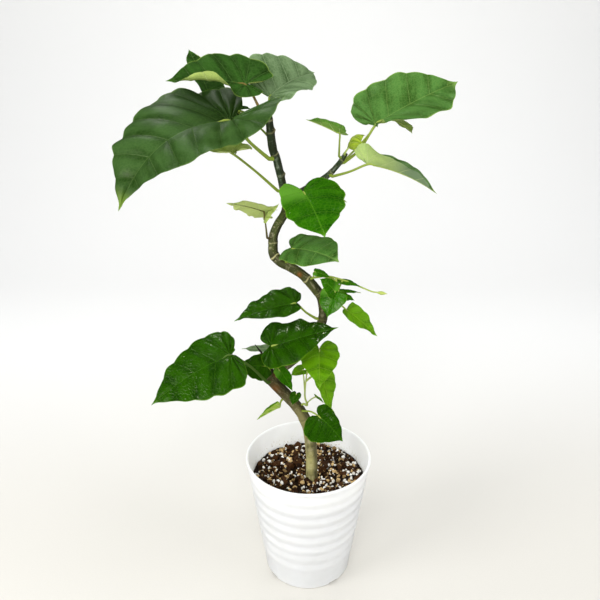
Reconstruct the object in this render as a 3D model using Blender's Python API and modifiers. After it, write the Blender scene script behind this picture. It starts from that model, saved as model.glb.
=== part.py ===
"""Potted rubber-leaf fig: a sinuous bare trunk with large heart-shaped leaves in a ribbed white pot.

The frame has +Z up and its origin at the centre of the pot's flat underside, in metres.
The side that is seen first faces -Y, and +X is to its right.
Sizes below are written in millimetres and multiplied by MM where they are used.

Each limb is a tapering tube along a smooth path. Each leaf is a heart-shaped blade that is
worked out from its heading, pitch, length and width, with its stalk fused on. The stalk
starts just clear of the limb that carries it.
"""

import math
import random
from dataclasses import dataclass, field

import bmesh
import bpy
from mathutils import Vector

MM = 0.001

# Clearance between pieces that touch on the real plant
GAP = 0.3

# Pot: an 18 cm nursery pot with a thin rim lip and soft level ribs
POT_HEIGHT = 191.5
POT_RIM_RADIUS = 90.0
POT_LIP_OUT = 1.6
POT_LIP_HEIGHT = 4.0
POT_BASE_RADIUS = 62.5
POT_BASE_CORNER = 3.0
POT_WALL = 1.8
POT_FLOOR = 3.0
POT_FLOOR_CORNER = 3.0
POT_LIP_EDGE = 0.8
POT_LIP_SLOPE = 1.0
POT_SIDES = 40
RIB_COUNT = 8
RIB_PITCH = 18.5
RIB_DEPTH = 1.0
RIB_TOP_Z = 172.0
RIB_LOWEST = 2
RIB_LOWEST_SHARE = 0.6
RIB_VALLEY_DROP = 3.0
SLOT_COUNT = 4
SLOT_FIRST_AZIMUTH = 36.0
SLOT_WIDTH = 15.0
SLOT_HEIGHT = 4.0
SLOT_DEPTH = 9.0
SLOT_INSET = 1.0

# Soil: the filled inside of the pot, 34 mm under the rim
SOIL_TOP_Z = 157.0
SOIL_INSET = 0.4
SOIL_CORNER = 4.0
SOIL_SIDES = 32

# Tubes: the bevel resolutions that give a tube 4, 6, 8 or 10 sides
SIDES_4 = 0
SIDES_6 = 1
SIDES_8 = 2
SIDES_10 = 3
LIMB_STEPS_PER_SPAN = 3

# A stem's start is looked for in small steps outward from the middle of its limb
CLEAR_STEP = 0.1
MOST_CLEAR_STEPS = 400
OUTWARD_SHARE = 0.65
LEAD_LENGTH = 3.0
RING_POINTS = 8

# Leaves
STALK_STEPS_PER_SPAN = 2
STALK_THIN = 0.9
STALK_PER_LENGTH = 1.0 / 130.0
STALK_SINK = 0.10
STALK_TAPER = (1.15, 0.9, 0.9, 0.45)
TWIG_TAPER = 0.45
BLADE_THICKNESS_PER_LENGTH = 0.012
BLADE_THICKNESS_LEAST = 0.8
BLADE_RIBS_LARGE = 9
BLADE_RIBS_SMALL = 6
BLADE_CELLS_LARGE = 2
BLADE_CELLS_SMALL = 1
BLADE_LARGE_FROM = 50.0
FIRST_RIB = 0.13
VEIN_START = 0.25
ROLL_FROM = 0.05
ROLL_TO = 0.55
EAR_FROM = -0.25
EAR_TO = 0.12
WELD_REACH = 0.05

# Rear sprays: how their seeded rule deals out the blades
REAR_TRIES_PER_BLADE = 12
REAR_FAN = 55.0
REAR_TURN_STEP = 2.4
REAR_TURN_JITTER = 12.0
REAR_LENGTH_SHARES = (0.8, 1.1)
REAR_STALK_REACH = (9.0, 16.0)
REAR_PITCH = (-30.0, -5.0)
REAR_DROOP = 30.0
REAR_TIER = 9.0
REAR_WIDTH_SHARE = 0.85
REAR_JOINT = 0.85
REAR_LIMB_CLEARANCE = 3.0

# Half of the heart outline, from the notch where the stalk joins to the tip.
# Each pair is the distance along the midrib and the distance across it, in blade lengths.
HALF_OUTLINE = (
    (0.00, 0.000),
    (-0.07, 0.030),
    (-0.17, 0.085),
    (-0.225, 0.200),
    (-0.18, 0.335),
    (-0.03, 0.445),
    (0.20, 0.470),
    (0.44, 0.405),
    (0.66, 0.275),
    (0.84, 0.115),
    (0.93, 0.030),
    (1.00, 0.000),
)
HALF_OUTLINE_WIDEST = 0.47


@dataclass(frozen=True)
class Half:
    """One side of a blade.

    lift is how far it rises from the level beside the midrib, curl how far it bends
    down from there to its edge, both in degrees. share scales its width, lobe how far its
    rounded lobe reaches back past the stalk, and full widens it toward the tip. roll is
    how much further it bends where the edge rolls in toward the tip, and ear how much
    further its lobe rises, both in degrees.
    """

    lift: float = 12.0
    curl: float = 20.0
    share: float = 1.0
    lobe: float = 1.0
    full: float = 0.0
    roll: float = 0.0
    ear: float = 0.0


@dataclass(frozen=True)
class Blade:
    """One leaf blade, in millimetres and degrees.

    base is where the stalk joins. heading turns from +X toward +Y and pitch is the rise
    from base to tip. droop is the bend of the midrib, twist turns the far end about it,
    and lobe_drop is how far the lobes follow that bend back.
    """

    base: tuple
    heading: float
    pitch: float
    length: float
    width: float
    droop: float = 20.0
    twist: float = 0.0
    left: Half = field(default_factory=Half)
    right: Half = field(default_factory=Half)
    lobe_drop: float = 0.5


@dataclass(frozen=True)
class Limb:
    """A tapering limb through a few points, with its radius at each, in millimetres."""

    points: tuple
    radii: tuple


@dataclass(frozen=True)
class Spray:
    """A mass of foliage: one stem from a limb, and the blades that it carries.

    at is the place along the limb, from 0 at its foot to 1 at its tip. A lone leaf has
    no twig: its stalk is the stem. Otherwise twig lists the points that the stem passes,
    and joints says, for each blade, how far along the twig its own stalk leaves.
    """

    name: str
    limb: str
    at: float
    blades: tuple
    twig: tuple = ()
    joints: tuple = ()
    twig_radius: float = 1.6
    arch: float = 0.08
    material: str = "leaf"


@dataclass(frozen=True)
class RearSpray:
    """A spray on the side away from the viewer, whose blades follow a seeded rule."""

    name: str
    limb: str
    at: float
    twig: tuple
    heading: float
    centre: tuple
    reach: float
    length: float
    count: int
    seed: int


TRUNK_LOWER = Limb(
    points=((5, -9, 157.3), (5, -9, 172), (4, -8, 205), (0, -6, 237), (-8, -4, 260),
            (-22, 0, 279), (-38, 4, 296), (-53, 6, 314)),
    radii=(8.6, 8.3, 8.1, 8.0, 7.9, 7.8, 8.2, 8.8),
)
TRUNK_UPPER = Limb(
    points=((-44, 5, 303), (-43, 6, 322), (-26, 4, 339), (-5, 0, 360), (9, -5, 383), (17, -10, 407),
            (18, -13, 427), (14, -15, 444), (4, -16, 459), (-8, -15, 472), (-22, -12, 481),
            (-37, -8, 488), (-45, -5, 497), (-46, -1, 508), (-45, 2, 520), (-40, 5, 532), (-32, 8, 545),
            (-28, 10, 557)),
    radii=(6.0, 7.2, 7.0, 6.8, 6.4, 6.1, 6.0, 6.0, 6.5, 6.1, 5.9, 6.1, 6.5, 6.0, 5.7, 5.6, 5.5, 5.4),
)
LEADER = Limb(
    points=((-28, 10, 557), (-33, 12, 579), (-40, 10, 612), (-45, 8, 626), (-48, 5, 654), (-50, 4, 669)),
    radii=(5.2, 5.0, 4.8, 5.2, 4.7, 4.5),
)
RIGHT_BOUGH = Limb(
    points=((-30, 11, 563), (-6, 12, 576), (20, 14, 591), (34, 14, 605), (44, 12, 620)),
    radii=(3.9, 3.7, 3.6, 3.4, 2.9),
)
DRY_SPUR = Limb(
    points=((-46, 5, 316), (-53, 2, 334), (-60, -1, 350), (-72, -5, 370)),
    radii=(2.2, 1.9, 1.6, 0.7),
)

SPRAYS = (
    Spray("leaf_broad_left", "leader", 0.43, (
        Blade((-92, -15, 661), -142, -30, 168, 168, droop=75, left=Half(-6, 15, 0.82, 1.4, 0.25, ear=19),
              right=Half(24, 10, 1.05, 1.0, 0.4, roll=20, ear=-3), lobe_drop=0.2),), arch=-0.04),
    Spray("leaf_under_left", "leader", 0.15, (
        Blade((-98, 40, 616), 140, -4, 110, 77, droop=25, left=Half(lobe=0.3), right=Half(lobe=0.3)),),
        arch=0.02),
    Spray("leaf_folded_top", "leader", 0.97, (
        Blade((-76, 8, 700), -161, 3, 92, 100, droop=20, left=Half(-36, 20, 0.42, 1.0, 1.0, roll=-330),
              right=Half(49, 15, 0.95, 1.7, -0.35)),)),
    Spray("leaf_back_right", "leader", 0.93, (
        Blade((-49, 38, 684), 48, 16, 87, 87, droop=25, left=Half(60, 20, 1.2, 0.6),
              right=Half(6, 5, 0.87, 0.5, 0.6, roll=38)),)),
    Spray("leaf_far_top", "leader", 0.86, (
        Blade((-127, 62, 688), 130, 50, 63, 52, droop=10, left=Half(10, 10, 0.5, 0.3, 2.0),
              right=Half(10, 10, 1.0, 0.3)),), arch=-0.04),
    Spray("leaf_broad_right", "right_bough", 0.80, (
        Blade((79, 15, 654), 11, 25, 111, 111, droop=12, twist=20, left=Half(42, 15, 1.0, 0.65),
              right=Half(5, 0, 1.2, 0.1, 1.2, ear=8), lobe_drop=0.0),), arch=-0.12),
    Spray("leaf_drooping_right", "right_bough", 0.55, (
        Blade((69, -10, 611), -18, -20, 89, 74, droop=28, left=Half(88, 0, 0.4, 0.3, 0.8),
              right=Half(40, 0, 0.7, 0.9, 0.5, ear=48)),), arch=-0.03),
    Spray("leaf_small_right", "right_bough", 0.88, (
        Blade((35, -2, 645), 180, 22, 44, 26, droop=10, left=Half(75, 10, 0.45),
              right=Half(50, 20, 1.0, 0.6)),)),
    Spray("leaf_unfolding", "right_bough", 0.96, (
        Blade((47, 6, 628), 20, 30, 25, 32, droop=120, left=Half(10, 80, 1.0, 0.3, 0.5),
              right=Half(0, 60, 1.0, 0.3, 0.5)),), material="leaf_young"),
    Spray("leaf_fork_heart", "leader", 0.06, (
        Blade((-8, -22, 580), -65, -35, 71, 71, droop=25, left=Half(20, 20, 1.35, 1.0),
              right=Half(5, 20, 0.9, 1.0, 1.4, ear=6)),)),
    Spray("leaf_middle_heart", "trunk_upper", 0.62, (
        Blade((-22, -30, 512), -30, -6, 65, 62, droop=30, left=Half(26, 20, 1.05, 0.55, 1.2),
              right=Half(-2, 20, 1.0, 0.45, 1.2)),)),
    Spray("shoot_pale_left", "trunk_upper", 0.79, (
        Blade((-57, 0, 551), -145, 18, 55, 41, droop=15, left=Half(40, 10, 0.9),
              right=Half(-48, 10, 0.8, 1.4)),
        Blade((-56, -3, 541), -12, 48, 29, 19, droop=10, left=Half(30, 10, lobe=0.3),
              right=Half(-20, 10, lobe=0.3)),),
        twig=((-55, -2, 537),), joints=(1.0, 1.0), material="leaf_young"),
    Spray("shoot_middle", "trunk_upper", 0.50, (
        Blade((6, -24, 480), -22, -13, 22, 11, left=Half(50, lobe=0.3), right=Half(-40, lobe=0.3)),
        Blade((34, -25, 468), -23, -6, 33, 17, left=Half(15, lobe=0.3), right=Half(0, lobe=0.3)),
        Blade((32, -40, 459), -166, 43, 29, 24, left=Half(-50, lobe=0.3), right=Half(60, lobe=0.3)),
        Blade((31, -40, 459), -131, -65, 33, 40, droop=30, left=Half(10, lobe=0.3), right=Half(10, lobe=0.3)),
        Blade((34, -32, 451), 12, -20, 25, 23, droop=30, left=Half(30, lobe=0.3), right=Half(0, lobe=0.3)),
        Blade((36, -24, 455), 9, -10, 31, 13, droop=10, left=Half(5, lobe=0.3), right=Half(5, lobe=0.3)),),
        twig=((8, -25, 473), (24, -27, 475), (49, -28, 468), (64, -30, 462), (77, -32, 457), (84, -33, 456)),
        joints=(0.11, 0.33, 0.38, 0.44, 0.49, 0.41), twig_radius=1.5),
    Spray("leaf_pointed_right", "trunk_upper", 0.41, (
        Blade((47, -25, 429), -21, -36, 52, 32, droop=10, left=Half(35, 20, lobe=0.1),
              right=Half(5, 20, 0.95, 0.3, 0.8)),)),
    Spray("leaf_middle_left", "trunk_upper", 0.30, (
        Blade((-17, -25, 438), -166, -12, 82, 69,
              left=Half(-2, 20, 0.8, 0.1, ear=20), right=Half(22, lobe=0.55)),),
        arch=-0.05),
    Spray("leaf_low_dark", "trunk_upper", 0.08, (
        Blade((-48, -40, 385), -5, 19, 90, 88, droop=4, left=Half(22, 20, 1.0, 0.7, ear=14),
              right=Half(-8, 15, 1.0, 0.6)),)),
    Spray("leaf_low_left", "trunk_lower", 0.97, (
        Blade((-104, -20, 362), -158, -26, 120, 108, droop=25, left=Half(-13, 20, 1.0, 0.4),
              right=Half(22, lobe=0.55)),)),
    Spray("leaf_low_rear", "trunk_lower", 0.93, (
        Blade((-58, 27, 321), 173, -6, 45, 42, droop=10, left=Half(-50, 10), right=Half(35)),)),
    Spray("leaf_low_small_rear", "trunk_upper", 0.10, (
        Blade((-57, 40, 341), 154, -12, 46, 18, droop=10, left=Half(0), right=Half(20)),)),
    Spray("shoot_low", "trunk_lower", 0.66, (
        Blade((-8, -4, 331), -139, -2, 22, 18, droop=10, left=Half(0), right=Half(50)),
        Blade((13, -23, 372), -90, -34, 56, 52, droop=30),
        Blade((15, -3, 327), -28, -72, 58, 40, droop=10, left=Half(30, lobe=0.5), right=Half(10, lobe=0.5)),
        Blade((10, -8, 292), 10, -45, 16, 12, droop=10),),
        twig=((-2, -5, 277), (-5, -7, 290), (-5, -8, 304), (-3, -9, 328)), joints=(0.7, 1.0, 0.9, 0.2)),
    Spray("leaf_low_glossy", "trunk_lower", 0.62, (
        Blade((13, -40, 281), -20, -43, 47, 46, left=Half(30, lobe=0.8), right=Half(-28, 5, 1.5)),)),
    Spray("leaf_low_short", "trunk_upper", 0.05, (
        Blade((-40, -27, 344), -39, -46, 34, 24, left=Half(lobe=0.4), right=Half(lobe=0.4)),)),
    Spray("leaf_low_round", "trunk_lower", 0.76, (
        Blade((-17, -20, 303), -118, -44, 16, 16),)),
    Spray("leaf_low_edge", "trunk_lower", 0.80, (
        Blade((-40, -8, 276), -162, -24, 37, 18, droop=5, left=Half(80, 10, lobe=0.3),
              right=Half(80, 10, lobe=0.3)),), material="leaf_young"),
)

REAR_SPRAYS = (
    RearSpray("shoot_rear_top", "leader", 0.70,
              ((-62, 30, 648), (-86, 62, 656)), 125, (-125, 95, 645), 75, 82, 3, 4),
    RearSpray("shoot_rear_right", "right_bough", 0.50,
              ((42, 30, 607), (66, 38, 630), (84, 49, 650), (94, 60, 662)), 40, (118, 82, 678), 52, 52, 2, 7),
    RearSpray("shoot_rear_middle", "trunk_upper", 0.93,
              ((-22, 30, 556), (-8, 44, 562)), 75, (12, 75, 548), 52, 54, 2, 3),
    RearSpray("shoot_rear_low", "trunk_upper", 0.16,
              ((-26, 26, 352), (-20, 42, 364)), 85, (-8, 75, 360), 60, 62, 2, 9),
)

MATERIAL_COLOURS = {
    "pot_plastic": ((0.86, 0.87, 0.86), 0.35),
    "soil_mix": ((0.060, 0.040, 0.028), 0.95),
    "bark": ((0.190, 0.165, 0.110), 0.80),
    "bark_young": ((0.055, 0.070, 0.040), 0.65),
    "dry_wood": ((0.030, 0.024, 0.020), 0.85),
    "leaf": ((0.045, 0.160, 0.030), 0.45),
    "leaf_young": ((0.260, 0.420, 0.090), 0.50),
}


def clear_scene():
    """Remove every object of the opening scene."""
    for item in list(bpy.data.objects):
        bpy.data.objects.remove(item, do_unlink=True)


def make_collection(name):
    """Return a new collection that is linked to the scene."""
    collection = bpy.data.collections.new(name)
    bpy.context.scene.collection.children.link(collection)
    return collection


def make_materials():
    """Return one plain Principled material for each named colour."""
    materials = {}
    for name, (colour, roughness) in MATERIAL_COLOURS.items():
        material = bpy.data.materials.new(name)
        material.use_nodes = True
        shader = material.node_tree.nodes["Principled BSDF"]
        shader.inputs["Base Color"].default_value = (*colour, 1.0)
        shader.inputs["Roughness"].default_value = roughness
        shader.inputs["Metallic"].default_value = 0.0
        materials[name] = material
    return materials


def smooth_path(points, steps):
    """Return a Catmull-Rom path through the points, with steps segments to each span."""
    vectors = [Vector(p) for p in points]
    if len(vectors) == 2:
        return [vectors[0].lerp(vectors[1], i / steps) for i in range(steps + 1)]
    padded = [vectors[0] * 2 - vectors[1], *vectors, vectors[-1] * 2 - vectors[-2]]
    path = []
    for a, b, c, d in zip(padded, padded[1:], padded[2:], padded[3:]):
        for i in range(steps):
            t = i / steps
            path.append(0.5 * (2 * b + (c - a) * t + (2 * a - 5 * b + 4 * c - d) * t ** 2
                               + (3 * b - a - 3 * c + d) * t ** 3))
    path.append(vectors[-1])
    return path


def smooth_values(values, steps):
    """Return the values with steps - 1 even steps put between each pair."""
    spread = [a + (b - a) * i / steps for a, b in zip(values, values[1:]) for i in range(steps)]
    return [*spread, values[-1]]


def limb_samples(limb):
    """Return the limb's smooth path and the radius at each of its points."""
    return smooth_path(limb.points, LIMB_STEPS_PER_SPAN), smooth_values(limb.radii, LIMB_STEPS_PER_SPAN)


def place_on(samples, at):
    """Return the point and radius at a fraction of a limb's path."""
    path, radii = samples
    place = at * (len(path) - 1)
    i = min(int(place), len(path) - 2)
    part = place - i
    return path[i].lerp(path[i + 1], part), radii[i] + (radii[i + 1] - radii[i]) * part


def clearance(point, samples):
    """Return the distance from a point to the skin of a limb."""
    best = math.inf
    path, radii = samples
    for a, b, r_a, r_b in zip(path, path[1:], radii, radii[1:]):
        span = b - a
        t = max(0.0, min(1.0, (point - a).dot(span) / span.length_squared))
        best = min(best, (point - a - span * t).length - (r_a + (r_b - r_a) * t))
    return best


def ring_round(centre, direction, radius):
    """Return points round a centre, in the plane across the direction."""
    side = direction.orthogonal().normalized()
    up = direction.cross(side)
    turns = [math.tau * i / RING_POINTS for i in range(RING_POINTS)]
    return [centre + (side * math.cos(t) + up * math.sin(t)) * radius for t in turns]


def leaving_direction(samples, at, toward):
    """Return the way a stem leaves its limb: partly straight out, partly at its goal."""
    origin, _ = place_on(samples, at)
    ahead, _ = place_on(samples, min(1.0, at + 0.02))
    behind, _ = place_on(samples, max(0.0, at - 0.02))
    tangent = (ahead - behind).normalized()
    aim = (Vector(toward) - origin).normalized()
    outward = (aim - tangent * aim.dot(tangent)).normalized()
    return (outward * OUTWARD_SHARE + aim * (1.0 - OUTWARD_SHARE)).normalized()


def clear_start(origin, direction, radius, limbs):
    """Return where a stem of this radius first leaves the skin of every limb by GAP."""
    for i in range(1, MOST_CLEAR_STEPS):
        centre = origin + direction * (i * CLEAR_STEP)
        rim = ring_round(centre, direction, radius)
        if min(clearance(p, limb) for p in rim for limb in limbs) >= GAP:
            return centre
    return origin


def seat_on_tip(limb, parent):
    """Return a limb's samples so that its flat foot faces the parent's tip across GAP."""
    parent_path, _ = parent
    direction = (parent_path[-1] - parent_path[-2]).normalized()
    tip = parent_path[-1]
    foot = [tip + direction * GAP, tip + direction * limb.radii[0]]
    path, radii = limb_samples(limb)
    kept = [i for i, place in enumerate(path) if (place - tip).length > 2.0 * limb.radii[0]]
    return foot + [path[i] for i in kept], [limb.radii[0]] * 2 + [radii[i] for i in kept]


def seat_on_side(limb, parents):
    """Return a limb's samples so that it starts where it first leaves its parents' skin by GAP."""
    first, second = Vector(limb.points[0]), Vector(limb.points[1])
    foot = clear_start(first, (second - first).normalized(), limb.radii[0], parents)
    return limb_samples(Limb((foot, *limb.points[1:]), limb.radii))


def make_tube(name, path, radii, resolution, collection):
    """Return a closed mesh tube along the path, made as a bevelled curve."""
    curve = bpy.data.curves.new(name, "CURVE")
    curve.dimensions = "3D"
    curve.bevel_depth = MM
    curve.bevel_resolution = resolution
    curve.use_fill_caps = True
    spline = curve.splines.new("POLY")
    spline.points.add(len(path) - 1)
    for point, place, radius in zip(spline.points, path, radii):
        point.co = (*(place * MM), 1.0)
        point.radius = radius
    guide = bpy.data.objects.new(name + "_curve", curve)
    collection.objects.link(guide)
    mesh = evaluated_mesh(guide, name)
    bpy.data.objects.remove(guide, do_unlink=True)
    weld(mesh)
    return link_mesh(name, mesh, collection)


def evaluated_mesh(item, name):
    """Return the object's mesh with its modifiers applied."""
    bpy.context.view_layer.update()
    graph = bpy.context.evaluated_depsgraph_get()
    mesh = bpy.data.meshes.new_from_object(item.evaluated_get(graph))
    mesh.name = name
    return mesh


def is_closed(mesh):
    """Tell whether the mesh has faces and two of them meet at every edge."""
    work = bmesh.new()
    work.from_mesh(mesh)
    closed = len(work.faces) > 0 and all(edge.is_manifold for edge in work.edges)
    work.free()
    return closed


def weld(mesh):
    """Join the doubled vertices of a mesh and turn its faces outward."""
    work = bmesh.new()
    work.from_mesh(mesh)
    bmesh.ops.remove_doubles(work, verts=work.verts, dist=1e-6)
    bmesh.ops.recalc_face_normals(work, faces=work.faces)
    work.to_mesh(mesh)
    work.free()


def link_mesh(name, mesh, collection):
    """Return a new object that shows the mesh."""
    item = bpy.data.objects.new(name, mesh)
    collection.objects.link(item)
    return item


def join_solids(name, first, others, collection):
    """Return one solid: the union of the first object with the others, which are removed."""
    if others:
        joined = bpy.data.collections.new(name + "_joined")
        bpy.context.scene.collection.children.link(joined)
        for item in others:
            collection.objects.unlink(item)
            joined.objects.link(item)
        union = first.modifiers.new("union", "BOOLEAN")
        union.operation = "UNION"
        union.operand_type = "COLLECTION"
        union.collection = joined
        union.solver = "EXACT"
        mesh = evaluated_mesh(first, name)
        if not is_closed(mesh):
            union.solver = "MANIFOLD"
            mesh = evaluated_mesh(first, name)
        for item in list(joined.objects):
            bpy.data.objects.remove(item, do_unlink=True)
        bpy.data.collections.remove(joined)
    else:
        mesh = evaluated_mesh(first, name)
    bpy.data.objects.remove(first, do_unlink=True)
    return link_mesh(name, mesh, collection)


def smoothstep(low, high, value):
    """Return 0 under low, 1 over high, and a smooth rise between them."""
    t = max(0.0, min(1.0, (value - low) / (high - low)))
    return t * t * (3.0 - 2.0 * t)


def half_outline():
    """Return the smooth half outline as points with their share of its whole length."""
    points = smooth_path([(a, b, 0.0) for a, b in HALF_OUTLINE], 12)
    reached = [0.0]
    for a, b in zip(points, points[1:]):
        reached.append(reached[-1] + (b - a).length)
    return points, [r / reached[-1] for r in reached]


OUTLINE_POINTS, OUTLINE_SHARES = half_outline()


def outline_at(share):
    """Return the distances along and across the midrib at a share of the half outline."""
    for i in range(len(OUTLINE_SHARES) - 1):
        if share <= OUTLINE_SHARES[i + 1]:
            break
    span = OUTLINE_SHARES[i + 1] - OUTLINE_SHARES[i]
    place = OUTLINE_POINTS[i].lerp(OUTLINE_POINTS[i + 1], (share - OUTLINE_SHARES[i]) / span)
    return place.x, max(place.y, 0.0)


def blade_axes(blade):
    """Return the unit vectors along the blade's chord, to its left and up from it."""
    heading = math.radians(blade.heading)
    pitch = math.radians(blade.pitch)
    level = math.cos(pitch)
    along = Vector((math.cos(heading) * level, math.sin(heading) * level, math.sin(pitch)))
    left = Vector((-math.sin(heading), math.cos(heading), 0.0))
    return along, left, along.cross(left)


def blade_point(blade, along_share, across_share, half, sign):
    """Return a point of the blade, in millimetres.

    The midrib is a shallow arc over the chord. A half leaves it at its lift and bends
    down to its edge by its curl, and by its roll toward the tip. Its lobe is raised
    further by its ear. sign is 1 on the left half and -1 on the right.
    """
    along, left, up = blade_axes(blade)
    rise = 2.0 * math.tan(math.radians(blade.droop) / 4.0)
    t = along_share
    height = rise * t * (1.0 - t) if t > 0 else rise * t * blade.lobe_drop
    slope = rise * (1.0 - 2.0 * max(t, 0.0))
    place = Vector(blade.base) + (along * t + up * height) * blade.length
    tangent = (along + up * slope).normalized()
    normal = tangent.cross(left)
    turn = math.radians(blade.twist) * t
    side = left * math.cos(turn) + normal * math.sin(turn)
    normal = normal * math.cos(turn) - left * math.sin(turn)
    widest = HALF_OUTLINE_WIDEST * 2.0 * blade.length
    reach = across_share * blade.width / widest * half.share
    curl = half.curl + half.roll * smoothstep(ROLL_FROM, ROLL_TO, t)
    bend = math.radians(curl) / HALF_OUTLINE_WIDEST or 1e-6
    start = math.radians(half.lift + half.ear * smoothstep(EAR_FROM, EAR_TO, -t))
    out = (math.sin(start) - math.sin(start - bend * reach)) / bend
    rise_out = (math.cos(start - bend * reach) - math.cos(start)) / bend
    return place + (side * (sign * out) + normal * rise_out) * blade.length


def rib_point(blade, share, part, half, sign):
    """Return the point a part of the way along the side vein that ends at this share of the edge."""
    end_along, end_across = outline_at(share)
    end_across *= 1.0 + half.full * max(end_along, 0.0) ** 2
    vein_start = max(0.0, (end_along - VEIN_START) / (1.0 - VEIN_START))
    if end_along < 0.0:
        end_along *= half.lobe
    return blade_point(blade, vein_start + (end_along - vein_start) * part, end_across * part, half, sign)


def make_blade(name, blade, collection):
    """Return the blade as a thin closed solid: a grid drawn out to the heart shape."""
    work = bmesh.new()
    large = blade.length >= BLADE_LARGE_FROM
    columns = 2 * (BLADE_CELLS_LARGE if large else BLADE_CELLS_SMALL)
    ribs = BLADE_RIBS_LARGE if large else BLADE_RIBS_SMALL
    bmesh.ops.create_grid(work, x_segments=columns, y_segments=ribs, size=1.0)
    for vertex in work.verts:
        across = vertex.co.x
        half, sign = (blade.left, 1) if across > 0 else (blade.right, -1)
        share = FIRST_RIB + (1.0 - FIRST_RIB) * (vertex.co.y + 1.0) / 2.0
        vertex.co = rib_point(blade, share, abs(across), half, sign) * MM
    bmesh.ops.remove_doubles(work, verts=work.verts, dist=WELD_REACH * MM)
    mesh = bpy.data.meshes.new(name)
    work.to_mesh(mesh)
    work.free()
    sheet = link_mesh(name + "_sheet", mesh, collection)
    shell = sheet.modifiers.new("thickness", "SOLIDIFY")
    shell.thickness = max(blade.length * BLADE_THICKNESS_PER_LENGTH, BLADE_THICKNESS_LEAST) * MM
    shell.offset = 0.0
    solid = evaluated_mesh(sheet, name)
    bpy.data.objects.remove(sheet, do_unlink=True)
    weld(solid)
    return link_mesh(name, solid, collection)


def stalk_radius(blade):
    """Return the radius of the stalk that carries a blade of this length."""
    return STALK_THIN + blade.length * STALK_PER_LENGTH


def make_stalk(name, foot, blade, arch, collection):
    """Return the stalk from its foot to the blade, sunk a little way in under the midrib.

    foot is one or two points: where the stalk starts, and what it passes next.
    """
    base = Vector(blade.base)
    near = foot[-1]
    middle = (near + base) / 2.0 + Vector((0.0, 0.0, 1.0)) * (base - near).length * arch
    sunk = blade_point(blade, STALK_SINK, 0.0, blade.left, 1)
    radius = stalk_radius(blade)
    path = [*foot[:-1], *smooth_path((near, middle, base, sunk), STALK_STEPS_PER_SPAN)]
    tapered = smooth_values([radius * share for share in STALK_TAPER], STALK_STEPS_PER_SPAN)
    radii = [tapered[0]] * (len(foot) - 1) + tapered
    sides = SIDES_6 if blade.length >= BLADE_LARGE_FROM else SIDES_4
    return make_tube(name, path, radii, sides, collection)


def stem_foot(spray, toward, radius, limbs):
    """Return the first two points of a stem: its start clear of the limbs, and the next."""
    origin, _ = place_on(limbs[spray.limb], spray.at)
    direction = leaving_direction(limbs[spray.limb], spray.at, toward)
    start = clear_start(origin, direction, radius, limbs.values())
    return start, start + direction * LEAD_LENGTH


def make_spray(spray, limbs, collection):
    """Return the spray as one solid: its stem, its stalks and its blades."""
    pieces = []
    if spray.twig:
        foot = stem_foot(spray, spray.twig[0], spray.twig_radius, limbs)
        path = [foot[0], *smooth_path((foot[1], *spray.twig), STALK_STEPS_PER_SPAN)]
        count = len(path) - 1
        radii = [spray.twig_radius * (1.0 - TWIG_TAPER * i / count) for i in range(count + 1)]
        pieces.append(make_tube(spray.name + "_twig", path, radii, SIDES_6, collection))
        feet = [(place_on((path, radii), joint)[0],) for joint in spray.joints]
    else:
        blade = spray.blades[0]
        feet = [stem_foot(spray, blade.base, stalk_radius(blade) * STALK_TAPER[0], limbs)]
    for number, (foot, blade) in enumerate(zip(feet, spray.blades)):
        pieces.append(make_stalk(f"{spray.name}_stalk_{number}", foot, blade, spray.arch, collection))
        pieces.append(make_blade(f"{spray.name}_blade_{number}", blade, collection))
    return join_solids(spray.name, pieces[0], pieces[1:], collection)


def fits_space(blade, rear, limbs):
    """Tell whether a blade keeps inside its spray's space and clear of every limb."""
    centre = Vector(rear.centre)
    for half, sign in ((blade.left, 1), (blade.right, -1)):
        for number in range(BLADE_RIBS_LARGE + 1):
            share = FIRST_RIB + (1.0 - FIRST_RIB) * number / BLADE_RIBS_LARGE
            edge = rib_point(blade, share, 1.0, half, sign)
            if (edge - centre).length > rear.reach:
                return False
            if min(clearance(edge, limb) for limb in limbs.values()) < REAR_LIMB_CLEARANCE:
                return False
    return True


def grow_rear_spray(rear, limbs):
    """Return a spray whose blades are dealt round its twig by a seeded rule."""
    chance = random.Random(rear.seed)
    tip = Vector(rear.twig[-1])
    blades = []
    for number in range(rear.count * REAR_TRIES_PER_BLADE):
        if len(blades) == rear.count:
            break
        jitter = chance.uniform(-REAR_TURN_JITTER, REAR_TURN_JITTER)
        turn = rear.heading + REAR_FAN * math.sin(number * REAR_TURN_STEP) + jitter
        length = rear.length * chance.uniform(*REAR_LENGTH_SHARES)
        out = Vector((math.cos(math.radians(turn)), math.sin(math.radians(turn)), 0.0))
        rise = Vector((0.0, 0.0, REAR_TIER * (len(blades) - 1)))
        base = tip + out * chance.uniform(*REAR_STALK_REACH) + rise
        pitch = chance.uniform(*REAR_PITCH)
        blade = Blade(base, turn, pitch, length, length * REAR_WIDTH_SHARE, droop=REAR_DROOP)
        if fits_space(blade, rear, limbs):
            blades.append(blade)
    joints = (REAR_JOINT,) * len(blades)
    return Spray(rear.name, rear.limb, rear.at, tuple(blades), twig=rear.twig, joints=joints)


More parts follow.
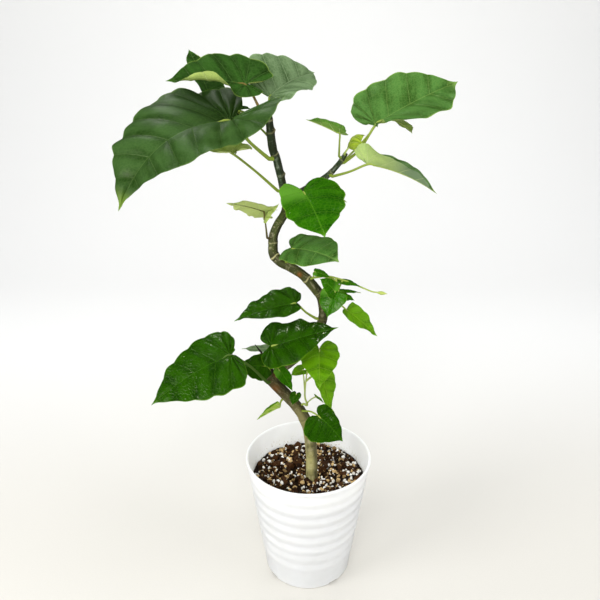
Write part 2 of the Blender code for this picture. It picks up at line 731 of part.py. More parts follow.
def pot_profile():
    """Return the pot's closed section, up its inside and down its outside, in millimetres."""
    top = POT_HEIGHT
    wall_top = POT_RIM_RADIUS - POT_LIP_OUT
    slope = (wall_top - POT_BASE_RADIUS) / top

    def outer(z):
        """Return the plain outer radius at a height."""
        return POT_BASE_RADIUS + slope * z

    corner = POT_FLOOR + POT_FLOOR_CORNER
    inside = [(0.0, POT_FLOOR), (outer(POT_FLOOR) - POT_WALL - POT_FLOOR_CORNER, POT_FLOOR),
              (outer(corner) - POT_WALL, corner), (wall_top - POT_WALL, top - POT_LIP_SLOPE)]
    lip = [(wall_top - POT_WALL + POT_LIP_SLOPE, top), (POT_RIM_RADIUS - POT_LIP_EDGE, top),
           (POT_RIM_RADIUS, top - POT_LIP_EDGE), (POT_RIM_RADIUS, top - POT_LIP_HEIGHT + POT_LIP_EDGE),
           (wall_top - slope * POT_LIP_HEIGHT, top - POT_LIP_HEIGHT)]
    ribs = []
    for number in range(RIB_COUNT):
        crest = RIB_TOP_Z - RIB_PITCH * number
        depth = RIB_DEPTH * (1.0 if number < RIB_COUNT - RIB_LOWEST else RIB_LOWEST_SHARE)
        ribs.append((outer(crest + RIB_PITCH / 2), crest + RIB_PITCH / 2 - RIB_VALLEY_DROP))
        ribs.append((outer(crest) + depth, crest))
    ribs.append((outer(RIB_TOP_Z - RIB_PITCH * (RIB_COUNT - 0.5)), RIB_TOP_Z - RIB_PITCH * (RIB_COUNT - 0.5)))
    foot = [(outer(POT_BASE_CORNER), POT_BASE_CORNER), (POT_BASE_RADIUS - POT_LIP_EDGE, POT_LIP_EDGE),
            (POT_BASE_RADIUS - POT_BASE_CORNER, 0.0), (0.0, 0.0)]
    return inside + lip + ribs + foot


def make_turned(name, profile, sides, collection):
    """Return a turned solid from a section given as radius and height."""
    mesh = bpy.data.meshes.new(name)
    vertices = [(radius * MM, 0.0, z * MM) for radius, z in profile]
    edges = [(i, i + 1) for i in range(len(vertices) - 1)]
    mesh.from_pydata(vertices, edges, [])
    item = link_mesh(name, mesh, collection)
    screw = item.modifiers.new("turn", "SCREW")
    screw.steps = sides
    screw.render_steps = sides
    screw.use_merge_vertices = True
    screw.merge_threshold = 0.00001
    return item


def make_pot(parts, cutters):
    """Return the ribbed pot with its four drainage slots at the foot."""
    pot = make_turned("pot", pot_profile(), POT_SIDES, parts)
    for number in range(SLOT_COUNT):
        azimuth = math.radians(SLOT_FIRST_AZIMUTH + 360.0 * number / SLOT_COUNT)
        bpy.ops.mesh.primitive_cube_add(size=1.0)
        slot = bpy.context.object
        slot.name = f"slot_cutter_{number}"
        slot.scale = (SLOT_DEPTH * MM, SLOT_WIDTH * MM, SLOT_HEIGHT * 2 * MM)
        slot.rotation_euler = (0.0, 0.0, azimuth)
        reach = (POT_BASE_RADIUS - SLOT_INSET) * MM
        slot.location = (reach * math.cos(azimuth), reach * math.sin(azimuth), 0.0)
        slot.hide_render = True
        slot.display_type = "WIRE"
        for home in list(slot.users_collection):
            home.objects.unlink(slot)
        cutters.objects.link(slot)
    cut = pot.modifiers.new("slots", "BOOLEAN")
    cut.operation = "DIFFERENCE"
    cut.operand_type = "COLLECTION"
    cut.collection = cutters
    cut.solver = "EXACT"
    return pot


def make_soil(parts):
    """Return the soil that fills the pot to its level, clear of the wall."""
    slope = (POT_RIM_RADIUS - POT_LIP_OUT - POT_BASE_RADIUS) / POT_HEIGHT
    inset = POT_WALL + GAP + SOIL_INSET
    low = POT_FLOOR + GAP

    def radius(z):
        """Return the soil's radius at a height."""
        return POT_BASE_RADIUS + slope * z - inset

    profile = [(0.0, SOIL_TOP_Z), (radius(SOIL_TOP_Z), SOIL_TOP_Z),
               (radius(low + SOIL_CORNER), low + SOIL_CORNER),
               (radius(low) - SOIL_CORNER, low), (0.0, low)]
    return make_turned("soil", profile, SOIL_SIDES, parts)


def make_limb(name, samples, resolution, collection):
    """Return a limb as a closed tapering tube."""
    path, radii = samples
    return make_tube(name, path, radii, resolution, collection)


def finish(item, material, materials):
    """Give the object its material and smooth shading on its round faces."""
    item.data.materials.clear()
    item.data.materials.append(materials[material])
    item.data.shade_smooth()
    item.data.set_sharp_from_angle(angle=math.radians(40.0))


def main():
    """Build the pot, the soil, the limbs and every spray of leaves."""
    clear_scene()
    parts = make_collection("potted_fig")
    cutters = make_collection("cutters")
    materials = make_materials()

    limbs = {"trunk_lower": limb_samples(TRUNK_LOWER), "trunk_upper": limb_samples(TRUNK_UPPER)}
    limbs["leader"] = seat_on_tip(LEADER, limbs["trunk_upper"])
    limbs["dry_spur"] = seat_on_side(DRY_SPUR, list(limbs.values()))
    limbs["right_bough"] = seat_on_side(RIGHT_BOUGH, list(limbs.values()))
    lower = make_limb("trunk_foot", limbs["trunk_lower"], SIDES_10, parts)
    upper = make_limb("trunk_top", limbs["trunk_upper"], SIDES_10, parts)
    finish(join_solids("trunk", lower, [upper], parts), "bark", materials)
    finish(make_limb("bough_leader", limbs["leader"], SIDES_8, parts), "bark_young", materials)
    finish(make_limb("bough_right", limbs["right_bough"], SIDES_8, parts), "bark_young", materials)
    finish(make_limb("dry_spur", limbs["dry_spur"], SIDES_6, parts), "dry_wood", materials)

    sprays = [*SPRAYS, *(grow_rear_spray(rear, limbs) for rear in REAR_SPRAYS)]
    for spray in sprays:
        finish(make_spray(spray, limbs, parts), spray.material, materials)

    finish(make_soil(parts), "soil_mix", materials)
    finish(make_pot(parts, cutters), "pot_plastic", materials)


main()
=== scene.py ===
"""Looks of the potted fig: bark with relief, veined leaves, ribbed pot, loose potting mix and a plain studio.

Sizes are written in millimetres and multiplied by MM where a mesh is made. The limbs and the
leaves repeat the rule and the values of the part's source, so each piece lies where its solid is.
"""

import logging
import math
import random
from dataclasses import dataclass, field
from enum import Enum
from typing import Any

import bmesh
import bpy
from mathutils import Matrix, Quaternion, Vector, noise

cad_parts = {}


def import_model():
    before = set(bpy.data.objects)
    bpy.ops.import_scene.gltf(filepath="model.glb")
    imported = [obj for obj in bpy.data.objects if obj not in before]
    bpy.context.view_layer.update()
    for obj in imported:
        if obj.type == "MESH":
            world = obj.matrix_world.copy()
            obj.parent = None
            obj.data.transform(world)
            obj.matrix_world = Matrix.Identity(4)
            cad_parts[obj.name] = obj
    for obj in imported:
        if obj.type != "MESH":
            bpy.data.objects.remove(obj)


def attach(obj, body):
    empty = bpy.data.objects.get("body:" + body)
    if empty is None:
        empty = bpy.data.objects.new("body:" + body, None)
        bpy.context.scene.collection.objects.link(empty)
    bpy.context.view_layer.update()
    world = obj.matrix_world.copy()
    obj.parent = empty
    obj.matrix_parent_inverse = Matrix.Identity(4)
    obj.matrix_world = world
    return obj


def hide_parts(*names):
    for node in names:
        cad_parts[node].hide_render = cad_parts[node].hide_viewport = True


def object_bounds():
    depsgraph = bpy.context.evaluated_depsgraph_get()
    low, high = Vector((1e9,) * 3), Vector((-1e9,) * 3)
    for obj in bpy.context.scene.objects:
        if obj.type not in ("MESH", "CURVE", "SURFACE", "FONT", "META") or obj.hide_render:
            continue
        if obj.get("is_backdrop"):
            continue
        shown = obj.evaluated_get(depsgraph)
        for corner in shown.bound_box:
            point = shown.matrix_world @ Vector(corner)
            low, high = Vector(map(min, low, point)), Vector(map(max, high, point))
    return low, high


MM = 0.001
BODY = "root"

# Clearance between pieces that touch on the real plant
GAP = 0.3

# Pot, from the part's source
POT_HEIGHT = 191.5
POT_RIM_RADIUS = 90.0
POT_LIP_OUT = 1.6
POT_LIP_HEIGHT = 4.0
POT_BASE_RADIUS = 62.5
POT_WALL = 1.8
POT_FLOOR = 3.0
RIB_COUNT = 8
RIB_PITCH = 18.5
RIB_DEPTH = 1.0
RIB_TOP_Z = 172.0
SOIL_TOP_Z = 157.0

# Stems, from the part's source
LIMB_STEPS_PER_SPAN = 3
CLEAR_STEP = 0.1
MOST_CLEAR_STEPS = 400
OUTWARD_SHARE = 0.65
LEAD_LENGTH = 3.0
RING_POINTS = 8
STALK_THIN = 0.9
STALK_PER_LENGTH = 1.0 / 130.0
STALK_SINK = 0.10
STALK_TAPER = (1.15, 0.9, 0.9, 0.45)
TWIG_TAPER = 0.45
STEPS_PER_SPAN_OF_TWIG_JOINT = 2
BARK_STEPS_PER_SPAN = 22
COURSE_TURN = 0.731
COURSE_RISE = 0.2
BUD_PROFILE = (0.07, 0.11, 0.16, 0.19, 0.18, 0.15, 0.10, 0.05, 0.015)

# Blades, from the part's source
VEIN_START = 0.25
ROLL_FROM = 0.05
ROLL_TO = 0.55
EAR_FROM = -0.25
EAR_TO = 0.12
SOLID_FIRST_RIB = 0.13
SOLID_RIBS = 9
HALF_OUTLINE = (
    (0.00, 0.000),
    (-0.07, 0.030),
    (-0.17, 0.085),
    (-0.225, 0.200),
    (-0.18, 0.335),
    (-0.03, 0.445),
    (0.20, 0.470),
    (0.44, 0.405),
    (0.66, 0.275),
    (0.84, 0.115),
    (0.93, 0.030),
    (1.00, 0.000),
)
HALF_OUTLINE_WIDEST = 0.47

# Rear sprays, from the part's source
REAR_TRIES_PER_BLADE = 12
REAR_FAN = 55.0
REAR_TURN_STEP = 2.4
REAR_TIER = 9.0
REAR_WIDTH_SHARE = 0.85
REAR_JOINT = 0.85
REAR_LIMB_CLEARANCE = 3.0

# Blade detail that only the looks have
FIRST_RIB = 0.015
ROWS_PER_LENGTH = 0.07
SCALLOP = 0.045
CELLS_PER_WIDTH = 0.20
FIRST_VEIN = 0.10
VEIN_STEP_BROAD = 0.088
VEIN_STEP_LARGE = 0.12
VEIN_STEP_SMALL = 0.16
LARGE_FROM = 80.0
BROAD_FROM = 140.0
LAMINA_THICKNESS = 0.45

Colour = tuple[float, float, float, float]


def linear(code: str) -> Colour:
    """Turn an sRGB hex colour into a linear one.

    Args:
        code: the colour as six hex digits, with or without a leading hash.

    Returns:
        Red, green, blue and an alpha of 1, all linear.
    """
    digits = code.lstrip("#")
    parts = [int(digits[i:i + 2], 16) / 255.0 for i in (0, 2, 4)]
    bright = [c / 12.92 if c <= 0.04045 else ((c + 0.055) / 1.055) ** 2.4 for c in parts]
    return (bright[0], bright[1], bright[2], 1.0)


def add_node(tree: bpy.types.NodeTree, kind: str, settings: dict | None = None,
             links: dict | None = None) -> bpy.types.Node:
    """Add one shader node with its settings and links.

    Args:
        tree: the node tree that takes the node.
        kind: Blender's name for the type of node.
        settings: values by property name, or by input name or number.
        links: sockets that feed inputs, by input name or number.

    Returns:
        The new node.
    """
    node = tree.nodes.new(kind)
    for key, value in (settings or {}).items():
        if isinstance(key, str) and hasattr(node, key):
            setattr(node, key, value)
        else:
            node.inputs[key].default_value = value
    for key, socket in (links or {}).items():
        tree.links.new(socket, node.inputs[key])
    return node


def new_material(name: str) -> tuple[bpy.types.Material, bpy.types.NodeTree, bpy.types.Node]:
    """Make an empty node material with its Principled shader wired to the output.

    Args:
        name: the material's name.

    Returns:
        The material, its node tree and its shader.
    """
    material = bpy.data.materials.new(name)
    material.use_nodes = True
    tree = material.node_tree
    tree.nodes.clear()
    shader = add_node(tree, "ShaderNodeBsdfPrincipled")
    add_node(tree, "ShaderNodeOutputMaterial", links={"Surface": shader.outputs["BSDF"]})
    return material, tree, shader


def blend_colours(tree: bpy.types.NodeTree, factor: Any, first: Any, second: Any,
                  kind: str = "MIX") -> bpy.types.NodeSocket:
    """Mix two colours by a factor, each given as a value or as a socket.

    Args:
        tree: the node tree.
        factor: a number or a socket, 0 for the first colour and 1 for the second.
        first: a colour or a socket.
        second: a colour or a socket.
        kind: Blender's name for the way of mixing.

    Returns:
        The socket with the mixed colour.
    """
    settings = {"data_type": "RGBA", "blend_type": kind}
    links = {}
    for key, value in ((0, factor), (6, first), (7, second)):
        if isinstance(value, bpy.types.NodeSocket):
            links[key] = value
        else:
            settings[key] = value
    return add_node(tree, "ShaderNodeMix", settings, links).outputs[2]


class Sheen(Enum):
    """How the surface of a blade was finished by growth."""

    DULL = "dull"
    SATIN = "satin"
    SILKY = "silky"
    GLOSSY = "glossy"

    @property
    def roughness(self) -> float:
        """Return the roughness of the cuticle."""
        return {"dull": 0.50, "satin": 0.36, "silky": 0.42, "glossy": 0.19}[self.value]

    @property
    def specular(self) -> float:
        """Return the strength of the cuticle's reflection."""
        return {"dull": 0.15, "satin": 0.25, "silky": 0.28, "glossy": 0.40}[self.value]


@dataclass(frozen=True)
class LeafFinish:
    """Living leaf tissue under a waxy cuticle, grown, not moulded.

    The upper face is deep green with paler sunken veins and a yellower tip, and the lower face is
    pale, matt and yellow-green with raised veins, its paleness partly painted light shining through
    it. Tissue between the veins is painted a little lighter and the vein creases darker, as painted
    light and shade.
    """

    name: str
    upper: str
    upper_light: str
    under: str
    vein: str
    margin: str
    tip: str
    sheen: Sheen = Sheen.SATIN
    vein_strength: float = 0.55
    heel_painted_light_and_shade: str = ""
    painted_heel_side: float = 1.0
    under_painted_sheen: str = ""
    gleam: str = "#EEF4CC"
    pucker: float = 0.22

    def material(self) -> bpy.types.Material:
        """Make the leaf material, or return it where it is made already."""
        made = bpy.data.materials.get(self.name)
        if made:
            return made
        material, tree, shader = new_material(self.name)
        venation = add_node(tree, "ShaderNodeAttribute", {"attribute_name": "venation"})
        split = add_node(tree, "ShaderNodeSeparateXYZ", links={0: venation.outputs["Vector"]})
        number, part, spacing = split.outputs
        lamina = add_node(tree, "ShaderNodeAttribute", {"attribute_name": "lamina"})
        place = add_node(tree, "ShaderNodeSeparateXYZ", links={0: lamina.outputs["Vector"]})
        side = add_node(tree, "ShaderNodeAttribute", {"attribute_name": "underside"})

        # Side veins are about 1 mm wide at the midrib and 0.4 mm near the edge
        wave = add_node(tree, "ShaderNodeMath", {"operation": "PINGPONG", 1: 0.5}, {0: number})
        away = add_node(tree, "ShaderNodeMath", {"operation": "MULTIPLY"}, {0: wave.outputs[0], 1: spacing})
        width = add_node(tree, "ShaderNodeMapRange", {"From Min": 0.0, "From Max": 1.0, "To Min": 1.0, "To Max": 0.45},
                         {"Value": part})
        side_vein = add_node(tree, "ShaderNodeMapRange", {"interpolation_type": "SMOOTHSTEP", "From Min": 0.0,
                                                          "To Min": 1.0, "To Max": 0.0},
                             {"Value": away.outputs[0], "From Max": width.outputs[0]})
        across = add_node(tree, "ShaderNodeMath", {"operation": "ABSOLUTE"}, {0: place.outputs[1]})
        midrib = add_node(tree, "ShaderNodeMapRange", {"interpolation_type": "SMOOTHSTEP", "From Min": 0.25,
                                                       "From Max": 1.1, "To Min": 1.0, "To Max": 0.0},
                          {"Value": across.outputs[0]})
        vein = add_node(tree, "ShaderNodeMath", {"operation": "MAXIMUM"},
                        {0: side_vein.outputs[0], 1: midrib.outputs[0]})

        # The fine net of veins has meshes of about 3 mm
        net = add_node(tree, "ShaderNodeTexVoronoi", {"feature": "DISTANCE_TO_EDGE", "Scale": 1.0 / 3.2},
                       {"Vector": lamina.outputs["Vector"]})
        fine = add_node(tree, "ShaderNodeMapRange", {"From Min": 0.0, "From Max": 0.14, "To Min": 1.0, "To Max": 0.0},
                        {"Value": net.outputs["Distance"]})
        # Patches of lighter and darker tissue are about 25 mm across
        patch = add_node(tree, "ShaderNodeTexNoise", {"Scale": 1.0 / 22.0, "Detail": 3.0, "Roughness": 0.6},
                         {"Vector": lamina.outputs["Vector"]})
        patchy = add_node(tree, "ShaderNodeMapRange", {"From Min": 0.38, "From Max": 0.66, "To Max": 0.6},
                          {"Value": patch.outputs["Fac"]})
        # The tissue swells between two side veins; it is painted lighter there and darker along the veins, as painted
        # light and shade in the creases
        painted_crease_shade = add_node(tree, "ShaderNodeMapRange", {"interpolation_type": "SMOOTHSTEP", "From Max": 0.4,
                                                      "To Max": 0.5}, {"Value": wave.outputs[0]})
        # Streaks run out along the side veins, a third of their spacing wide: partly random tone and partly a painted
        # sheen
        fan = add_node(tree, "ShaderNodeCombineXYZ", links={0: number, 1: place.outputs[1], 2: place.outputs[2]})
        drawn = add_node(tree, "ShaderNodeMapping", {"Scale": (2.6, 0.02, 1.0)}, {"Vector": fan.outputs["Vector"]})
        streak = add_node(tree, "ShaderNodeTexNoise", {"Scale": 1.0, "Detail": 3.0, "Roughness": 0.6},
                          {"Vector": drawn.outputs["Vector"]})
        vein_streak_and_sheen = add_node(tree, "ShaderNodeMapRange", {"From Min": 0.42, "From Max": 0.68, "To Min": -0.1, "To Max": 0.5},
                           {"Value": streak.outputs["Fac"]})
        patch_and_crease_shade = add_node(tree, "ShaderNodeMath", {"operation": "ADD"}, {0: patchy.outputs[0], 1: painted_crease_shade.outputs[0]})
        light = add_node(tree, "ShaderNodeMath", {"operation": "ADD", "use_clamp": True},
                         {0: patch_and_crease_shade.outputs[0], 1: vein_streak_and_sheen.outputs[0]})
        green = blend_colours(tree, light.outputs[0], linear(self.upper), linear(self.upper_light))
        tipward = add_node(tree, "ShaderNodeAttribute", {"attribute_name": "tipward"})
        if self.heel_painted_light_and_shade:
            # One half is painted another tone beside the stalk: painted shade where it tilts away from the lamps,
            # painted light where its raised lobe faces them
            near = add_node(tree, "ShaderNodeMapRange", {"interpolation_type": "SMOOTHSTEP", "From Min": 0.32,
                                                         "From Max": 0.0, "To Max": 0.85},
                            {"Value": tipward.outputs["Fac"]})
            lean = add_node(tree, "ShaderNodeMath", {"operation": "MULTIPLY", 1: self.painted_heel_side},
                            {0: place.outputs[1]})
            flank = add_node(tree, "ShaderNodeMapRange", {"interpolation_type": "SMOOTHSTEP", "From Min": -3.0,
                                                          "From Max": 3.0}, {"Value": lean.outputs[0]})
            heel_painted_light_and_shade = add_node(tree, "ShaderNodeMath", {"operation": "MULTIPLY"},
                            {0: near.outputs[0], 1: flank.outputs[0]})
            green = blend_colours(tree, heel_painted_light_and_shade.outputs[0], green, linear(self.heel_painted_light_and_shade))
        yellow = add_node(tree, "ShaderNodeMapRange", {"interpolation_type": "SMOOTHSTEP", "From Min": 0.86,
                                                       "From Max": 1.0, "To Max": 0.9},
                          {"Value": tipward.outputs["Fac"]})
        green = blend_colours(tree, yellow.outputs[0], green, linear(self.tip))
        net_tint = add_node(tree, "ShaderNodeMath", {"operation": "MULTIPLY", 1: 0.20}, {0: fine.outputs[0]})
        green = blend_colours(tree, net_tint.outputs[0], green, linear(self.vein))
        vein_tint = add_node(tree, "ShaderNodeMath", {"operation": "MULTIPLY", 1: self.vein_strength},
                             {0: vein.outputs[0]})
        green = blend_colours(tree, vein_tint.outputs[0], green, linear(self.vein))
        edge = add_node(tree, "ShaderNodeMapRange", {"From Min": 0.965, "From Max": 1.0, "To Max": 0.75},
                        {"Value": part})
        green = blend_colours(tree, edge.outputs[0], green, linear(self.margin))

        # The lower face's pale colour is partly its own and partly painted light shining through the leaf
        pale = linear(self.under)
        if self.under_painted_sheen:
            # The lower face is painted greyer over its far half, as a painted silvery sheen
            far = add_node(tree, "ShaderNodeMapRange", {"interpolation_type": "SMOOTHSTEP", "From Min": 0.15,
                                                        "From Max": 0.6}, {"Value": tipward.outputs["Fac"]})
            pale = blend_colours(tree, far.outputs[0], pale, linear(self.under_painted_sheen))
        mottle = add_node(tree, "ShaderNodeMath", {"operation": "MULTIPLY", 1: 0.5}, {0: patchy.outputs[0]})
        pale = blend_colours(tree, mottle.outputs[0], pale, linear(self.upper_light))
        pale = blend_colours(tree, net_tint.outputs[0], pale, linear(self.upper_light))
        raised = add_node(tree, "ShaderNodeMath", {"operation": "MULTIPLY", 1: 0.6}, {0: vein.outputs[0]})
        pale = blend_colours(tree, raised.outputs[0], pale, linear("#C9D79A"))
        colour = blend_colours(tree, side.outputs["Fac"], green, pale)
        tree.links.new(colour, shader.inputs["Base Color"])

        rough = add_node(tree, "ShaderNodeMapRange", {"To Min": self.sheen.roughness, "To Max": 0.62},
                         {"Value": side.outputs["Fac"]})
        tree.links.new(rough.outputs[0], shader.inputs["Roughness"])
        shader.inputs["Specular IOR Level"].default_value = self.sheen.specular
        shader.inputs["Specular Tint"].default_value = linear(self.gleam)

        # Veins are sunk about 0.25 mm into the upper face, and the net by the pucker's share of that
        groove = add_node(tree, "ShaderNodeMath", {"operation": "MULTIPLY", 1: self.pucker}, {0: fine.outputs[0]})
        height = add_node(tree, "ShaderNodeMath", {"operation": "ADD"}, {0: vein.outputs[0], 1: groove.outputs[0]})
        sunk = add_node(tree, "ShaderNodeMath", {"operation": "MULTIPLY", 1: -1.0}, {0: height.outputs[0]})
        bump = add_node(tree, "ShaderNodeBump", {"Strength": 1.0, "Distance": 0.4 * MM}, {"Height": sunk.outputs[0]})
        tree.links.new(bump.outputs["Normal"], shader.inputs["Normal"])
        return material


@dataclass(frozen=True)
class StalkFinish:
    """A living leaf stalk: smooth, waxy and yellow-green, darker or redder at its foot."""

    name: str
    foot: str
    tip: str

    def material(self) -> bpy.types.Material:
        """Make the stalk material, or return it where it is made already."""
        made = bpy.data.materials.get(self.name)
        if made:
            return made
        material, tree, shader = new_material(self.name)
        course = add_node(tree, "ShaderNodeAttribute", {"attribute_name": "course"})
        split = add_node(tree, "ShaderNodeSeparateXYZ", links={0: course.outputs["Vector"]})
        # Fine stripes run along the stalk, about 0.8 mm apart
        scaled = add_node(tree, "ShaderNodeMapping", {"Scale": (1.3, 0.08, 1.0)},
                          {"Vector": course.outputs["Vector"]})
        stripe = add_node(tree, "ShaderNodeTexNoise", {"Scale": 1.0, "Detail": 2.0},
                          {"Vector": scaled.outputs["Vector"]})
        base = blend_colours(tree, split.outputs[2], linear(self.foot), linear(self.tip))
        shade = add_node(tree, "ShaderNodeMapRange", {"From Min": 0.35, "From Max": 0.75, "To Min": 0.0, "To Max": 0.35},
                         {"Value": stripe.outputs["Fac"]})
        colour = blend_colours(tree, shade.outputs[0], base, linear("#4E6424"))
        tree.links.new(colour, shader.inputs["Base Color"])
        shader.inputs["Roughness"].default_value = 0.45
        shader.inputs["Specular IOR Level"].default_value = 0.35
        bump = add_node(tree, "ShaderNodeBump", {"Strength": 0.3, "Distance": 0.15 * MM},
                        {"Height": stripe.outputs["Fac"]})
        tree.links.new(bump.outputs["Normal"], shader.inputs["Normal"])
        return material


@dataclass(frozen=True)
class BarkFinish:
    """Smooth fig bark, grown: olive and grey, with pale streaks, corky dots and old leaf scars."""

    name: str
    foot: str
    middle: str
    top: str
    streak: str
    streak_most: float = 0.55
    painted_shade_most: float = 0.7

    def material(self) -> bpy.types.Material:
        """Make the bark material, or return it where it is made already."""
        made = bpy.data.materials.get(self.name)
        if made:
            return made
        material, tree, shader = new_material(self.name)
        course = add_node(tree, "ShaderNodeAttribute", {"attribute_name": "course"})
        split = add_node(tree, "ShaderNodeSeparateXYZ", links={0: course.outputs["Vector"]})
        mark = add_node(tree, "ShaderNodeAttribute", {"attribute_name": "mark"})
        marks = add_node(tree, "ShaderNodeSeparateXYZ", links={0: mark.outputs["Vector"]})
        ramp = add_node(tree, "ShaderNodeValToRGB", links={0: split.outputs[2]})
        stops = ramp.color_ramp.elements
        stops[0].color, stops[1].color = linear(self.foot), linear(self.top)
        stops[0].position = 0.10
        stops.new(0.40).color = linear(self.middle)

        # Grey and olive patches are about 7 mm wide and 25 mm long
        drawn = add_node(tree, "ShaderNodeMapping", {"Scale": (1.0, 0.28, 1.0)}, {"Vector": course.outputs["Vector"]})
        patch = add_node(tree, "ShaderNodeTexNoise", {"Scale": 1.0 / 7.0, "Detail": 4.0, "Roughness": 0.65},
                         {"Vector": drawn.outputs["Vector"]})
        dark = add_node(tree, "ShaderNodeMapRange", {"From Min": 0.45, "From Max": 0.66, "To Max": 0.8},
                        {"Value": patch.outputs["Fac"]})
        colour = blend_colours(tree, dark.outputs[0], ramp.outputs["Color"], linear("#2B2A16"))
        # Pale streaks follow the limb, about 2 mm wide and 12 mm long
        stretched = add_node(tree, "ShaderNodeMapping", {"Scale": (0.45, 0.09, 1.0), "Location": (3.0, 7.0, 0.0)},
                             {"Vector": course.outputs["Vector"]})
        streak = add_node(tree, "ShaderNodeTexNoise", {"Scale": 1.0, "Detail": 5.0, "Roughness": 0.7},
                          {"Vector": stretched.outputs["Vector"]})
        pale = add_node(tree, "ShaderNodeMapRange", {"From Min": 0.52, "From Max": 0.72, "To Max": self.streak_most},
                        {"Value": streak.outputs["Fac"]})
        colour = blend_colours(tree, pale.outputs[0], colour, linear(self.streak))
        # Corky dots are about 0.7 mm across
        dots = add_node(tree, "ShaderNodeTexVoronoi", {"Scale": 1.0 / 2.6}, {"Vector": course.outputs["Vector"]})
        dot = add_node(tree, "ShaderNodeMapRange", {"From Min": 0.10, "From Max": 0.22, "To Min": 0.55, "To Max": 0.0},
                       {"Value": dots.outputs["Distance"]})
        colour = blend_colours(tree, dot.outputs[0], colour, linear("#B3A981"))
        # The side facing +X, away from the key lamp, is painted darker: painted shade
        place = add_node(tree, "ShaderNodeTexCoord")
        facing = add_node(tree, "ShaderNodeSeparateXYZ", links={0: place.outputs["Normal"]})
        painted_side_shade = add_node(tree, "ShaderNodeMapRange", {"interpolation_type": "SMOOTHSTEP", "From Min": -0.1,
                                                      "From Max": 0.8, "To Max": self.painted_shade_most},
                         {"Value": facing.outputs[0]})
        colour = blend_colours(tree, painted_side_shade.outputs[0], colour, linear("#1E1D0E"))
        colour = blend_colours(tree, marks.outputs[0], colour, linear("#D2CB93"))
        colour = blend_colours(tree, marks.outputs[1], colour, linear("#96581E"))
        colour = blend_colours(tree, marks.outputs[2], colour, linear("#241C12"))
        tree.links.new(colour, shader.inputs["Base Color"])
        shader.inputs["Roughness"].default_value = 0.62
        shader.inputs["Specular IOR Level"].default_value = 0.3
        grain = add_node(tree, "ShaderNodeTexNoise", {"Scale": 1.0 / 1.1, "Detail": 4.0, "Roughness": 0.7},
                         {"Vector": course.outputs["Vector"]})
        relief = add_node(tree, "ShaderNodeMath", {"operation": "ADD"},
                          {0: grain.outputs["Fac"], 1: streak.outputs["Fac"]})
        bump = add_node(tree, "ShaderNodeBump", {"Strength": 0.7, "Distance": 0.5 * MM}, {"Height": relief.outputs[0]})
        tree.links.new(bump.outputs["Normal"], shader.inputs["Normal"])
        return material


@dataclass(frozen=True)
class PotPlastic:
    """White polypropylene, injection moulded: a satin skin with faint flow marks and a little dust."""

    name: str = "white_polypropylene_moulded"
    body: str = "#F4F5F4"
    shade: str = "#E6E7E3"
    soil_dust: str = "#B9A98E"

    def material(self) -> bpy.types.Material:
        """Make the pot's plastic."""
        material, tree, shader = new_material(self.name)
        place = add_node(tree, "ShaderNodeTexCoord")
        # Faint flow marks are about 40 mm across
        flow = add_node(tree, "ShaderNodeTexNoise", {"Scale": 1.0 / (40.0 * MM), "Detail": 3.0},
                        {"Vector": place.outputs["Object"]})
        faint = add_node(tree, "ShaderNodeMapRange", {"From Min": 0.4, "From Max": 0.75, "To Max": 0.5},
                         {"Value": flow.outputs["Fac"]})
        colour = blend_colours(tree, faint.outputs[0], linear(self.body), linear(self.shade))
        # Dust from the mix clings inside, just over the soil line
        inner = add_node(tree, "ShaderNodeAttribute", {"attribute_name": "splash"})
        grit = add_node(tree, "ShaderNodeTexNoise", {"Scale": 1.0 / (3.0 * MM), "Detail": 4.0},
                        {"Vector": place.outputs["Object"]})
        dusty = add_node(tree, "ShaderNodeMapRange", {"From Min": 0.57, "From Max": 0.72},
                         {"Value": grit.outputs["Fac"]})
        dust = add_node(tree, "ShaderNodeMath", {"operation": "MULTIPLY"},
                        {0: inner.outputs["Fac"], 1: dusty.outputs[0]})
        colour = blend_colours(tree, dust.outputs[0], colour, linear(self.soil_dust))
        tree.links.new(colour, shader.inputs["Base Color"])
        shader.inputs["Roughness"].default_value = 0.40
        shader.inputs["IOR"].default_value = 1.49
        shader.inputs["Specular IOR Level"].default_value = 0.15
        # Light goes 9 mm deep, so that the wall glows from behind
        shader.inputs["Subsurface Weight"].default_value = 0.7
        shader.inputs["Subsurface Radius"].default_value = (1.0, 0.97, 0.9)
        shader.inputs["Subsurface Scale"].default_value = 9.0 * MM
        # The moulded skin has a grain of about 1 mm
        skin = add_node(tree, "ShaderNodeTexNoise", {"Scale": 1.0 / (1.2 * MM), "Detail": 2.0},
                        {"Vector": place.outputs["Object"]})
        bump = add_node(tree, "ShaderNodeBump", {"Strength": 0.06, "Distance": 0.1 * MM}, {"Height": skin.outputs["Fac"]})
        tree.links.new(bump.outputs["Normal"], shader.inputs["Normal"])
        return material


@dataclass(frozen=True)
class LooseFinish:
    """Loose matter of the potting mix, broken and sieved: each grain has a tone of its own."""

    name: str
    dark: str
    light: str
    roughness: float = 0.9
    grit_mm: float = 0.8

    def material(self) -> bpy.types.Material:
        """Make the material of one kind of grain."""
        material, tree, shader = new_material(self.name)
        tone = add_node(tree, "ShaderNodeAttribute", {"attribute_name": "tone"})
        place = add_node(tree, "ShaderNodeTexCoord")
        grit = add_node(tree, "ShaderNodeTexNoise", {"Scale": 1.0 / (self.grit_mm * MM), "Detail": 4.0},
                        {"Vector": place.outputs["Object"]})
        share = add_node(tree, "ShaderNodeMath", {"operation": "MULTIPLY_ADD", 1: 0.5},
                         {0: grit.outputs["Fac"], 2: tone.outputs["Fac"]})
        colour = blend_colours(tree, share.outputs[0], linear(self.dark), linear(self.light))
        tree.links.new(colour, shader.inputs["Base Color"])
        shader.inputs["Roughness"].default_value = self.roughness
        shader.inputs["Specular IOR Level"].default_value = 0.25
        bump = add_node(tree, "ShaderNodeBump", {"Strength": 0.6, "Distance": 0.3 * MM}, {"Height": grit.outputs["Fac"]})
        tree.links.new(bump.outputs["Normal"], shader.inputs["Normal"])
        return material
